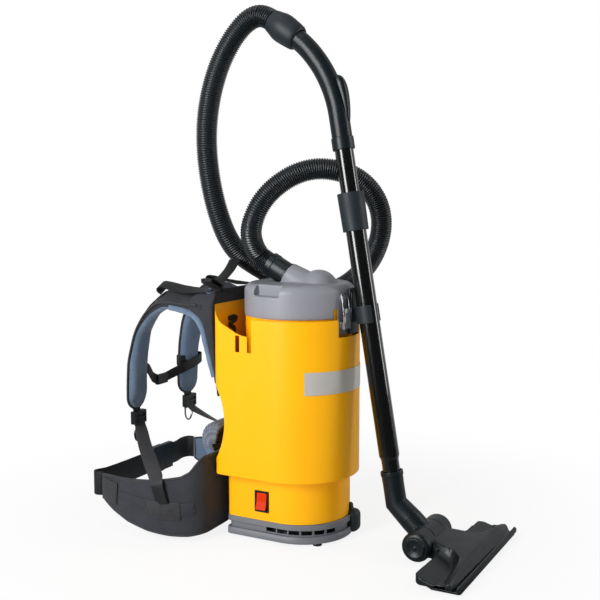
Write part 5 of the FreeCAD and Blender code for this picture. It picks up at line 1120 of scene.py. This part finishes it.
for side, tag in SIDES:
    def strap_place(u, v, side=side):
        spot, inward = strap_frame(u)
        crown = 1.6 * (1 - (2 * v - 1) ** 2)
        lean = strap_lean(u, side, -(2 * v - 1) * strap_half(u))
        return Vector((side * STRAP_MIDDLE * MM, spot.y, spot.z)) + lean + inward * ((2.4 - crown) * MM)

    padded = panel("strap_padded_" + tag, 12, len(strap_line) - 1,
                   (strap_place, strap_foam, strap_seam), STRAP_THICK, (strap_length, 0.055),
                   (charcoal, lining))
    upholstered(padded, (22, 1.2), ["shoulder_straps"], air=(3.5, 3.0))
    edge = [strap_place(step / 110, v) + strap_frame(step / 110)[1] * (1.4 * MM)
            for v, steps in ((0, range(3, 111)), (1, range(110, 2, -1))) for step in steps]
    finished(piping("strap_binding_" + tag, edge, 2.0, binding), None)
    rows = []
    for v in (0.12, 0.88):
        row = []
        for u in (step / 104 for step in range(4, 100)):
            inward = strap_frame(u)[1]
            row += skin_row(padded, [strap_place(u, v) - inward * 0.03], inward, 0.25)
        rows.append(row)
    stitches("strap_stitches_" + tag, rows)

# %% [markdown]
# ### Webbing on the shoulder straps
# A webbing is sewn along the outside of each strap. At the top it is the load lifter, which stands
# off a little and ends in a loop, and at the bottom it runs into the ladder lock. A loop round the
# far strap carries the chest strap, and slides up and down on it.

# %% Outer webbing, lifter loops and chest loop
LOAD_LINE = [(128, 434), (140, 433.5), (165, 433), (190, 434), (214, 438), (236, 441), (243, 434),
             (233, 427.5)]
CHEST_LINE = []
for step in range(13):
    spot, inward = strap_frame(0.29 + 0.055 * step)
    spot = (spot - inward * (0.6 * MM)) / MM
    CHEST_LINE.append((spot.y, spot.z))
CHEST_LINE += [(298.5, 206), (294.5, 199)]


def leaning_strap(name, places, side, width_mm, thick_mm):
    """A webbing that lies on the strap and leans with it."""
    spots = smooth_line([mm(side * STRAP_MIDDLE, y, z) for y, z in places], 5.0)
    across = []
    for spot in spots:
        index = min(range(len(strap_line)), key=lambda i: (strap_line[i].yz - spot.yz).length)
        across.append(strap_lean(index / (len(strap_line) - 1), side, 1.0).normalized())
    return strip(name, spots, across, width_mm, thick_mm, webbing)


for side, tag in SIDES:
    lifted = joined("strap_webbing_" + tag, leaning_strap("lifter", LOAD_LINE, side, 25, 1.8),
                    leaning_strap("chest", CHEST_LINE, side, 22, 1.5))
    finished(lifted, None)

LOOP_HEIGHT, LOOP_REACH = 276, STRAP_HALF + 2.5
around = [(0, 305.0), (-0.7, 304.6), (-1, 300.5), (-0.8, 290), (0, 285.0), (0.8, 290), (1, 300.5),
          (0.7, 304.6), (0, 305.0)]
loop = flat_strap("chest_loop_far", [(STRAP_MIDDLE + share * LOOP_REACH, y, LOOP_HEIGHT)
                                     for share, y in around], (0, 0, 1), 20, 1.5, webbing, 4.0)
finished(loop, None)

# %% [markdown]
# ## The back pad and the waist roll
# The back pad fills the space between the machine and the wearer's back. It is wider at the top,
# where the shoulder straps grow out of it, and it is sewn into channels that let air pass. The
# roll below it is gathered into ribs along its upper part.

# %% Back pad
PAD_OUTLINE = ((250, 84), (285, 88), (330, 96), (380, 101), (415, 100), (432, 88))
PAD_LOW, PAD_HIGH, PAD_DEEP = 250, 434, 25.0


def pad_place(u, v):
    """The pad's machine side, which lies on the sleeve's panel."""
    z = PAD_LOW + (PAD_HIGH - PAD_LOW) * v
    x = (2 * u - 1) * between(PAD_OUTLINE, z)
    return mm(x, 115.2 + max(0.0, abs(x) - 88) * 0.1 + (3.5 if z > 415 else 0.0), z)


def pad_foam(u, v):
    """Foam: full between the channels, thin at the rim and the lower end."""
    rim = min(1.0, (1 - abs(2 * u - 1)) * 7, (1 - abs(2 * v - 1)) * 7)
    channel = 0.72 + 0.28 * abs(math.sin(math.pi * v * 5))
    return (0.42 + 0.5 * rim ** 0.5 * channel) * (0.45 + 0.55 * min(1.0, v * 2.2))


def pad_seam(u, v):
    """The rim and the channels' bottoms are pinned."""
    channel = abs(v * 5 - round(v * 5)) < 0.06
    return 1.0 if channel or abs(2 * u - 1) > 0.95 or abs(2 * v - 1) > 0.95 else 0.0


back_pad = panel("back_pad_sewn", 34, 36, (pad_place, pad_foam, pad_seam), PAD_DEEP, (0.2, 0.18),
                 (charcoal, lining))
upholstered(back_pad, (24, 1.0), ["back_pad"], air=(3.0, 2.5))
around = [(step / 40, 0) for step in range(41)] + [(1, step / 40) for step in range(1, 41)]
around += [(1 - step / 40, 1) for step in range(1, 41)]
around += [(0, 1 - step / 40) for step in range(1, 40)]
pad_rim = piping("back_pad_binding", [pad_place(u, v) + mm(0, 2.4, 0) for u, v in around], 2.4,
                 binding, closed=True)
finished(pad_rim, None)

# %% Waist roll
ROLL_ROWS = ((118, 130.5), (124, 142), (134, 149), (147, 154), (160, 157.5), (172, 158),
             (182, 154), (190, 146), (193.5, 134), (192, 122))
ROLL_HALF, ROLL_RIBS, ROLL_COLUMNS, ROLL_CORE = 85.0, 10, 44, Vector((0, 0.1273, 0.152))
roll_line = smooth_line([mm(0, y, z) for z, y in ROLL_ROWS], 1.5)


def roll_place(u, v):
    """The roll's outer skin: its upper part is gathered into ribs along the roll."""
    spot = on_line(roll_line, v)[0]
    upper = max(0.0, (v - 0.36) / 0.64)
    rib = 3.6 * abs(math.sin(math.pi * upper * ROLL_RIBS + 0.5 * math.sin(u * 9))) ** 0.7
    rib *= min(1.0, upper * 8)
    tip = max(0.0, abs(2 * u - 1) - 0.82) / 0.18
    place = ROLL_CORE + (spot - ROLL_CORE) * math.sqrt(max(0.03, 1 - tip ** 2))
    place += (spot - ROLL_CORE).normalized() * (rib * MM)
    return Vector(((1 - 2 * u) * ROLL_HALF * MM, place.y, place.z))


roll = panel("waist_roll", len(roll_line) - 1, ROLL_COLUMNS,
             (roll_place, lambda u, v: 0.9, lambda u, v: 1.0), 9.0, (0.17, 0.1), (lining, lining))
upholstered(roll, (18, 1.6), ["lumbar_pad"])
roll.data.materials.append(mesh_cloth)
for face in roll.data.polygons:
    if face.center.z > 0.149:
        face.material_index = 2

# %% [markdown]
# ### The yoke's sides
# The cloth that carries the shoulder straps is turned round the sleeve's edges. From the side it is
# a charcoal band, wide at the top and running out to a bound point below.

# %% Sides of the yoke
YOKE_LOW, YOKE_HIGH = 272.0, 431.0
YOKE_DEEP = ((272, 5), (300, 8), (340, 13), (370, 18), (386, 25), (394, 36), (400, 50), (424, 50),
             (431, 30))
YOKE_EDGE = ((121.5, 284), (126, 305), (132, 340), (136.5, 365), (143.5, 380), (154, 390),
             (168, 396), (186, 400), (206, 403))
for side, tag in SIDES:
    def yoke_place(u, v, side=side):
        z = YOKE_LOW + (YOKE_HIGH - YOKE_LOW) * v
        swing = u if side > 0 else 1 - u
        x = between(PAD_OUTLINE, max(z, 285)) + 4.0 + 1.6 * math.sin(math.pi * swing)
        return mm(side * x, 115.0 + between(YOKE_DEEP, z) * swing, z)

    yoke = panel("yoke_side_" + tag, 26, 6, (yoke_place, lambda u, v: 0.75, lambda u, v: 1.0), 5.0,
                 (0.03, 0.16), (charcoal, charcoal))
    upholstered(yoke, (15, 1.2))
    edge = [mm(side * (between(PAD_OUTLINE, max(z, 285)) + 1.5), y, z) for y, z in YOKE_EDGE]
    trim = piping("yoke_lining_" + tag, smooth_line(edge, 4.0), 5.6, lining)
    crumple(trim, 12, 1.6)
    finished(trim, None)

# %% [markdown]
# ## Loose webbing
# The webbing between the padded parts hangs in soft curves, as it does when nobody wears it. The
# lower webbing turns as it goes from the ladder lock to the belt, so its width swings round.

# %% Webbing from the ladder locks to the belt
LOWER_LINE = [(-82.5, 292.5, 200), (-82.5, 291.5, 190), (-84, 289, 178), (-95, 277, 166),
              (-112, 259, 151), (-131, 236, 135), (-149, 214, 121), (-163, 198, 113),
              (-171.4, 190.5, 108), (-174, 187, 99), (-172.8, 183, 84), (-170.8, 179, 68)]
for side, tag in SIDES:
    spots = smooth_line([mm(-side * x, y, z) for x, y, z in LOWER_LINE], 5.0)
    across = []
    for index in range(len(spots)):
        share = min(1.0, index / (len(spots) * 0.72))
        wide = Vector((-side, 0, 0)).lerp(Vector((0, -1, 0.12)), share ** 1.3)
        across.append(square_to(heading(spots, index), wide))
    lower = strip("lower_webbing_" + tag, spots, across, 25, 1.6, binding)
    lower.data.materials.append(webbing)
    for face in lower.data.polygons:
        face.material_index = 1 if face.center.z < 0.104 else 0
    finished(lower, None, nodes=["lower_webbing"])

# %% Waist webbing, chest strap, and the strap that holds the hose
LOOSE = (
    ("waist_webbing_sewn", "waist_webbing", (0, 0, 1), 44, 1.8, 5.0,
     [(-144, 327.4, 77), (-148, 332, 77), (-150, 341, 77), (-145, 349.5, 77), (-133, 350, 76),
      (-112, 348.5, 74), (-60, 348, 73), (26.5, 348, 73)],
     [(91.5, 348, 73), (112, 348, 73), (128, 348.5, 75), (139, 346, 76), (145.5, 338, 77),
      (145.4, 328, 77)]),
    ("chest_strap_sewn", "chest_strap", (0, 0, 1), 18, 1.6, 3.5,
     [(-70, 290, 283), (-58, 290, 279), (-48, 293, 272), (-38, 296.5, 263), (-28, 300, 256),
      (-15.5, 301, 250)],
     [(15.5, 301, 250), (28, 299, 253), (42, 291, 259), (54, 282, 265), (82, 277.5, 271),
      (107, 281, 276), (113, 289, 277), (113, 298, 277)]),
    ("hose_holder_sewn", "hose_holder_strap", (0, 1, 0), 22, 1.6, 5.0,
     [(-66, 124, 431), (-69, 124.5, 440), (-64, 125, 450), (-50, 125.5, 457), (-32, 126.5, 466),
      (-17, 128.5, 475), (-6, 130, 484)],
     [(-60, 126, 434), (-74, 128, 446), (-90, 131, 455), (-97, 132.5, 454), (-95, 132, 449),
      (-82, 129.5, 443), (-66, 127.5, 434)]),
)
for name, node, side, width_mm, thick_mm, spacing_mm, *routes in LOOSE:
    runs = [flat_strap("run", route, side, width_mm, thick_mm, webbing, spacing_mm)
            for route in routes]
    finished(joined(name, *runs), None, nodes=[node])

# %% [markdown]
# ## The floor tool's head
# The head is one moulding: two barrels hold the knuckle, a duct runs forward from them and spreads
# into a ridge over the full width, and a lower wing with a raised rear edge lies on each side.
# Such a flowing shape is modelled as clay would be: a flat grid with the head's plan is given its
# heights, extruded down to the sole, joined with the barrels, and rebuilt as one even
# skin, so that every inner corner gets its fillet. A cutter makes room for the knuckle's drum.

# %% The head's plan and heights
HEAD_BACK, HEAD_FRONT, HEAD_LOW = -282.0, -346.5, 6.5
HEAD_HALF, HEAD_CORNER = 152.0, 12.0
BARREL_Y, BARREL_Z, BARREL_RADIUS, BARREL_INNER, BARREL_OUTER = -244.0, 26.5, 25.0, 22.4, 59.0
FLANK = ((0, -248), (25, -257), (36, -270), (44, -290), (49, -308), (64, -321), (93, -328),
         (138, -332), (154, -333))
CREST_TOP = ((245, 42), (258, 40), (270, 36), (290, 32.5), (310, 30), (324, 28.5), (332, 27.5),
             (337, 25), (341, 17), (345, 12))
flank_line = smooth_line([mm(x, y, 0) for x, y in FLANK], 3.0)


def head_height(x, y):
    """How high the head is over a place: the duct and ridge inside the flank line, else a wing."""
    wide = abs(x)
    fall = 9.0 * max(0.0, (wide - 96) / 56) ** 2
    inside = between(CREST_TOP, -y) - fall * min(1.0, max(0.0, (-y - 300) / 25))
    if y <= between(FLANK, wide):
        return inside + 1.2 * (1 - min(1.0, wide / 60) ** 2)
    wing = 10.0 + 11.5 * min(1.0, max(0.0, (y + 322) / 40)) ** 1.5
    away = min((place - mm(wide, y, 0)).length for place in flank_line) / MM
    return inside + (wing - inside) * (1 - (1 - min(1.0, away / 15)) ** 2.4)


deselect()
bpy.ops.mesh.primitive_grid_add(x_subdivisions=150, y_subdivisions=52, size=2)
head = edited(named("tool_moulding"), bpy.ops.mesh.extrude_region_move)
for vertex in head.data.vertices:
    across, forward = vertex.co.x, (1 - vertex.co.y) / 2
    neck = min(1.0, max(0.0, (46 - abs(across) * HEAD_HALF) / 9))
    back = HEAD_BACK - 5 * across
    rear = back + 32 * neck
    y = rear + (HEAD_FRONT - 2.5 * across - rear) * forward
    round_off = HEAD_CORNER * max(0.0, 1 - (back - y) / HEAD_CORNER) ** 2
    x = across * (HEAD_HALF - (round_off if neck == 0 else 0))
    low = HEAD_LOW + (7.2 if abs(x) > 141 and -328 < y < -313 else 0.2)
    vertex.co = mm(x, y, head_height(x, y) if vertex.select else low)
face_out(head)
print("head grid", len(head.data.polygons), "faces")


# %% Barrels, fillets and the knuckle's room
def drum(name, sides, radius, start, end):
    """A cylinder on the knuckle's axis."""
    deselect()
    bpy.ops.mesh.primitive_cylinder_add(
        vertices=sides, radius=radius * MM, depth=abs(end - start) * MM,
        location=mm((start + end) / 2, BARREL_Y, BARREL_Z), rotation=(0, math.pi / 2, 0))
    return named(name)


solids = [head]
for side in (-1, 1):
    barrel = drum("barrel", 72, BARREL_RADIUS, side * BARREL_INNER, side * BARREL_OUTER)
    edit("EDGE")
    work = bmesh.from_edit_mesh(barrel.data)
    for edge in work.edges:
        edge.select = all(abs(vertex.co.x) > (BARREL_OUTER - 1) * MM for vertex in edge.verts)
    bmesh.update_edit_mesh(barrel.data)
    bpy.ops.mesh.bevel(offset=7.5 * MM, segments=6, profile=0.5)
    bpy.ops.object.mode_set(mode="OBJECT")
    middle = side * 31
    solids += [barrel, block("bracket", (middle - 8.5, -283, 8), (middle + 8.5, -249, 21), 3)]
head = remeshed(joined("tool_moulding", *solids), 1.3, 4)
room = drum("knuckle_room", 96, 25.7, 0.1 - BARREL_INNER, BARREL_INNER - 0.1)
apply_modifier(head, "BOOLEAN", object=room, operation="DIFFERENCE", solver="EXACT")
bpy.data.objects.remove(room)
smooth(head, 50)

# %% The rail along the front
RAIL_HALF, RAIL_BACK, RAIL_FRONT, RAIL_SKEW, RAIL_LOW = 151.5, -348.4, -353.4, 1.4, 6.6
deselect()
bpy.ops.mesh.primitive_plane_add(size=2)
rail = named("tool_rail")
for vertex in rail.data.vertices:
    side, deep = vertex.co.x, RAIL_BACK if vertex.co.y > 0 else RAIL_FRONT
    vertex.co = mm(side * RAIL_HALF, deep - RAIL_SKEW * side, RAIL_LOW)
edit()
for lift, shrink in ((6.4, 1.0), (0.0, 0.62), (2.6, 1.0)):
    bpy.ops.mesh.extrude_region_move(TRANSFORM_OT_translate={"value": (0, 0, lift * MM)})
    if shrink < 1:
        bpy.ops.transform.resize(value=(0.993, shrink, 1.0))
bpy.ops.object.mode_set(mode="OBJECT")
face_out(rail)
head = joined("tool_moulding", head, rounded(rail, 0.6, degrees=30))
finished(head, black, "head", ["tool_head"])

# %% [markdown]
# ## Turned and mitred tubes
# A tube, a cap or a collar is one ring of edges that is extruded from place to place, so its
# profile is a short list of reaches and radii. The tube under the wand has two straight
# runs that meet at a mitre: its middle ring lies in the mitre plane, so the bend stays one
# clean crease. Solidify then gives a wall, and a bevel rounds the rims.

# %% A skin of rings
ROUND_SIDES = 64


def ring_shape(name, rings, close=False):
    """Extrude a circle through lists of places. close puts a face on its last ring."""
    deselect()
    bpy.ops.mesh.primitive_circle_add(vertices=len(rings[0]), radius=1, fill_type="NOTHING")
    piece = named(name)
    edit("VERT")
    numbered(piece, lambda v: (v.index, rings[0][v.index], True))
    extruded(piece, rings[1:])
    if close:
        bpy.ops.mesh.edge_face_add()
    bpy.ops.object.mode_set(mode="OBJECT")
    return face_out(piece)


def turned(name, centre, along, profile, close=False):
    """A shape of revolution: profile lists (reach along the axis, radius) in millimetres."""
    along = Vector(along).normalized()
    aside = along.orthogonal().normalized()
    ways = spokes(aside, along.cross(aside), ROUND_SIDES)
    rings = [[(Vector(centre) + along * reach + way * radius) * MM for way in ways]
             for reach, radius in profile]
    return ring_shape(name, rings, close)


# %% Elbow
ELBOW_TOP, ELBOW_BEND = Vector((0, -177.4, 133.0)), Vector((0, -186.8, 77.8))
KNUCKLE_SPOT, KNUCKLE_REACH = Vector((0, BARREL_Y, BARREL_Z)), 42.3
upper_run = (ELBOW_BEND - ELBOW_TOP).normalized()
lower_run = (KNUCKLE_SPOT - ELBOW_BEND).normalized()
mitre = (upper_run + lower_run).normalized()
start = -(ELBOW_BEND - ELBOW_TOP).length
end = (KNUCKLE_SPOT - ELBOW_BEND).length - KNUCKLE_REACH
ELBOW_RINGS = ((start, 19.4, upper_run), (start + 7.5, 19.6, upper_run),
               (start + 8.2, 18.5, upper_run), (start + 24, 18.1, upper_run),
               (0, 18.3, upper_run), (end - 2, 20.0, lower_run), (end, 20.2, lower_run))


def elbow_ring(reach, radius, along):
    """One ring of the elbow: in the mitre plane for a reach of 0, else square to its run."""
    aside = Vector((1, 0, 0))
    ring = []
    for way in spokes(aside, along.cross(aside), ROUND_SIDES):
        spot = way * radius + along * reach
        if reach == 0:
            spot -= along * (spot.dot(mitre) / along.dot(mitre))
        ring.append((ELBOW_BEND + spot) * MM)
    return ring


elbow = ring_shape("elbow_mitred", [elbow_ring(*row) for row in ELBOW_RINGS])
apply_modifier(elbow, "SOLIDIFY", thickness=2.6 * MM, offset=-1)
rounded(elbow, 0.6, degrees=20, smooth_degrees=40)
finished(elbow, black, nodes=["elbow"])

# %% Dished caps of the barrels, and the flared cuff at the handle
CAP = ((-1, 17.4), (1.6, 17.4), (2.6, 16.9), (3.1, 15.8), (2.7, 14), (1.2, 10), (0.4, 6.5),
       (0.1, 3.4), (0.3, 2.7), (0.9, 2.2), (1.0, 0.8))
caps = [turned("cap", (side * BARREL_OUTER, BARREL_Y, BARREL_Z), (side, 0, 0), CAP, close=True)
        for side in (-1, 1)]
caps = smooth(joined("caps_of_knuckle", *caps), 50)
finished(caps, black, "head", ["knuckle_caps"])

CUFF_SPOT, CUFF_AXIS = (0, 15.68, 873.73), (0, 0.826, 0.56367)
CUFF = ((-16, 18.4), (-15.6, 20.2), (-12, 22.4), (-4, 23.6), (8, 24.8), (18, 25.5), (27, 24.8),
        (36, 22.2), (43, 20.7), (44.7, 20.2), (45, 19.6), (45, 17), (4, 17), (4, 14), (1, 14),
        (1, 18.3), (-16, 18.3))
cuff = smooth(face_out(merge(turned("cuff_at_handle", CUFF_SPOT, CUFF_AXIS, CUFF))), 50)
finished(cuff, soft_black, "handle_cuff", ["hose_cuff_handle"])

# %% The air slider on the handle's bend
WAND_FOOT = Vector((0, -177.4, 133.0))
WAND_UP, WAND_BACK = Vector((0, 0.16834, 0.98573)), Vector((0, 0.98573, -0.16834))
BEND_START, BEND_REACH, GRIP_ROUND = 608.0, 215.0, 17.5
SLIDER = ((677, 2, 0.6), (675.5, 5.5, 5.5), (671, 8, 8.4), (663, 9.6, 9.8), (654, 10, 9.6),
          (644, 9.6, 8.4), (631, 8.8, 6.6), (618, 7.6, 4.4), (606, 6.2, 2.6), (597, 4, 1.2),
          (595, 1.5, 0.4))
rings = []
for up, half, proud in SLIDER:
    face = BEND_REACH - math.sqrt((BEND_REACH + GRIP_ROUND) ** 2 - max(0, up - BEND_START) ** 2)
    ring = []
    for turn in (math.tau * step / 32 for step in range(32)):
        x = half * math.copysign(abs(math.cos(turn)) ** 0.8, math.cos(turn))
        depth = face + 1.0 - (proud + 1.0) * max(0.0, math.sin(turn)) ** 0.7
        depth += 1.5 * max(0.0, -math.sin(turn))
        ring.append((WAND_FOOT + WAND_UP * up + WAND_BACK * depth + Vector((x, 0, 0))) * MM)
    rings.append(ring)
slider = subdivided(ring_shape("air_slider", rings, True))
finished(slider, black, "air_slider", ["suction_slider"])

# %% The base's proud rim and ledge
BASE_HALF, BASE_FRONT, BASE_BACK, BASE_CORNER = 83.7, -8.1, 100.5, 8.0


def base_outline(offset, z):
    """The base's outline, a half circle in front and straight sides, moved out by offset."""
    half, back = BASE_HALF + offset, BASE_BACK + min(offset, 0)
    spots = [mm(half * math.cos(turn), BASE_FRONT - half * math.sin(turn), z)
             for turn in (math.pi * step / 60 for step in range(61))]
    for side, steps in ((-1, range(7)), (1, range(6, -1, -1))):
        for turn in (math.pi / 2 * step / 6 for step in steps):
            spots.append(mm(side * (half - BASE_CORNER * (1 - math.cos(turn))),
                            back - BASE_CORNER * (1 - math.sin(turn)), z))
    return spots


RIM_FORM = ((-1, 37.8), (2.0, 37.8), (3.0, 36.8), (3.4, 28.6), (2.6, 27.8), (-1, 27.8))
LEDGE_FORM = ((-1, 16.6), (3.2, 16.6), (4.4, 15.4), (5.2, 6.6), (4.4, 4.6), (-1, 4.4))
for name, form in (("base_rim", RIM_FORM), ("base_ledge", LEDGE_FORM)):
    band = ring_shape(name, [base_outline(offset, z) for offset, z in form + form[:1]])
    finished(smooth(face_out(merge(band)), 40), dark_grey)

# %% The folded strap seen in the sleeve's window
FOLDS = ((62, 109.2, 384), (46, 107.5, 386), (38, 106.6, 382), (50, 106, 378), (61, 106.4, 373),
         (52, 107.4, 369), (43, 108.2, 364), (40, 109.4, 352))
folded = [flat_strap("folds", [(side * x, y, z) for x, y, z in FOLDS], (-side * 0.35, 0, 1), 8,
                     1.4, webbing, 2.5) for side in (-1, 1)]
finished(joined("anchors_folded", *folded), None, nodes=["strap_anchors"])

# %% [markdown]
# ## The studio
# The background is white paper. Far from the object the floor gives the camera plain white, and
# near it the floor is partly an ordinary pale surface, which takes the soft shadow. Polished parts
# mirror the backdrop behind the object, while the room in front of it is dim, and that keeps
# black tubes black. Three lamps light the object at a plain level, at which a colour renders
# about as it is written.

# %% Floor and world
BACKDROP = (0.883, 0.469, 0.0)
MIRRORED_WHITE, MIRRORED_DIM, ROOM = 0.45, 0.05, 0.24
PLAIN_WHITE = (1, 1, 1, 1)
deselect()
bpy.ops.mesh.primitive_circle_add(vertices=96, radius=9.0, fill_type="NGON",
                                  location=(0, 0, -0.0005))
floor = named("studio_floor")


def behind_share(tree, vector, near, far):
    """How far a place or a direction lies on the backdrop's side, from 0 to 1."""
    along = put(tree, "VectorMath", {0: vector, 1: BACKDROP}, "Value", operation="DOT_PRODUCT")
    return put(tree, "MapRange", {"Value": along, "From Min": near, "From Max": far},
               interpolation_type="SMOOTHSTEP")


def seen_level(tree, behind, others):
    """How bright a ray sees the studio: the camera white, mirrored rays by side."""
    seen, through, glossy = (put(tree, "LightPath", {}, f"Is {kind} Ray")
                             for kind in ("Camera", "Transmission", "Glossy"))
    straight = put(tree, "Math", {0: seen, 1: through}, operation="MAXIMUM")
    mirrored = put(tree, "Mix", {0: behind, 2: MIRRORED_DIM, 3: MIRRORED_WHITE})
    level = put(tree, "Mix", {0: glossy, 2: others, 3: mirrored})
    level = put(tree, "Mix", {0: straight, 2: level, 3: 1.0})
    return level, put(tree, "Math", {0: straight, 1: glossy}, operation="MAXIMUM")


floor_finish, tree, place = new_finish("matt_paper_white", Roughness=0.95,
                                       Base_Color=linear("#FCFCFC"), Specular_IOR_Level=0.1)
reach = put(tree, "VectorMath", {0: place}, "Value", operation="LENGTH")
fade = put(tree, "MapRange", {"Value": reach, "From Min": 0.25, "From Max": 0.9, "To Min": 0.85},
           interpolation_type="SMOOTHSTEP")
level, own = seen_level(tree, behind_share(tree, place, -0.3, 0.3), 0.0)
share = put(tree, "Math", {0: fade, 1: own}, operation="MULTIPLY")
glow = put(tree, "Emission", {"Color": PLAIN_WHITE, "Strength": level})
paper_white = tree.nodes["Principled BSDF"].outputs[0]
blend = put(tree, "MixShader", {0: share, 1: paper_white, 2: glow})
tree.links.new(blend, tree.nodes["Material Output"].inputs["Surface"])
floor.data.materials.append(floor_finish)
print("studio floor", [round(v, 1) for v in floor.dimensions], "m")

world = bpy.data.worlds.new("studio")
bpy.context.scene.world = world
world.use_nodes = True
sky = world.node_tree
way = put(sky, "TexCoord", {}, "Generated")
level, own = seen_level(sky, behind_share(sky, way, -0.12, 0.3), ROOM)
sky.links.new(level, sky.nodes["Background"].inputs["Strength"])
sky.nodes["Background"].inputs["Color"].default_value = PLAIN_WHITE


# %% Lamps
def lamp(name, spot, aim, power, size):
    """An area lamp that looks at a place."""
    light = placed(name, bpy.data.lights.new(name, "AREA"))
    light.data.shape = "RECTANGLE"
    light.data.size, light.data.size_y = size
    light.data.energy = power
    light.location = spot
    light.rotation_mode = "QUATERNION"
    light.rotation_quaternion = (Vector(aim) - Vector(spot)).to_track_quat("-Z", "Y")
    print(name, power, "watts")


lamp("lamp_left", (-2.27, 0.61, 1.15), (0, 0, 0.45), 60, (0.9, 1.9))
lamp("lamp_right", (1.0, -2.2, 1.2), (0, 0, 0.4), 16, (0.4, 1.9))
lamp("lamp_top", (-0.5, 0.2, 2.7), (0, 0, 0.4), 7, (1.2, 1.2))
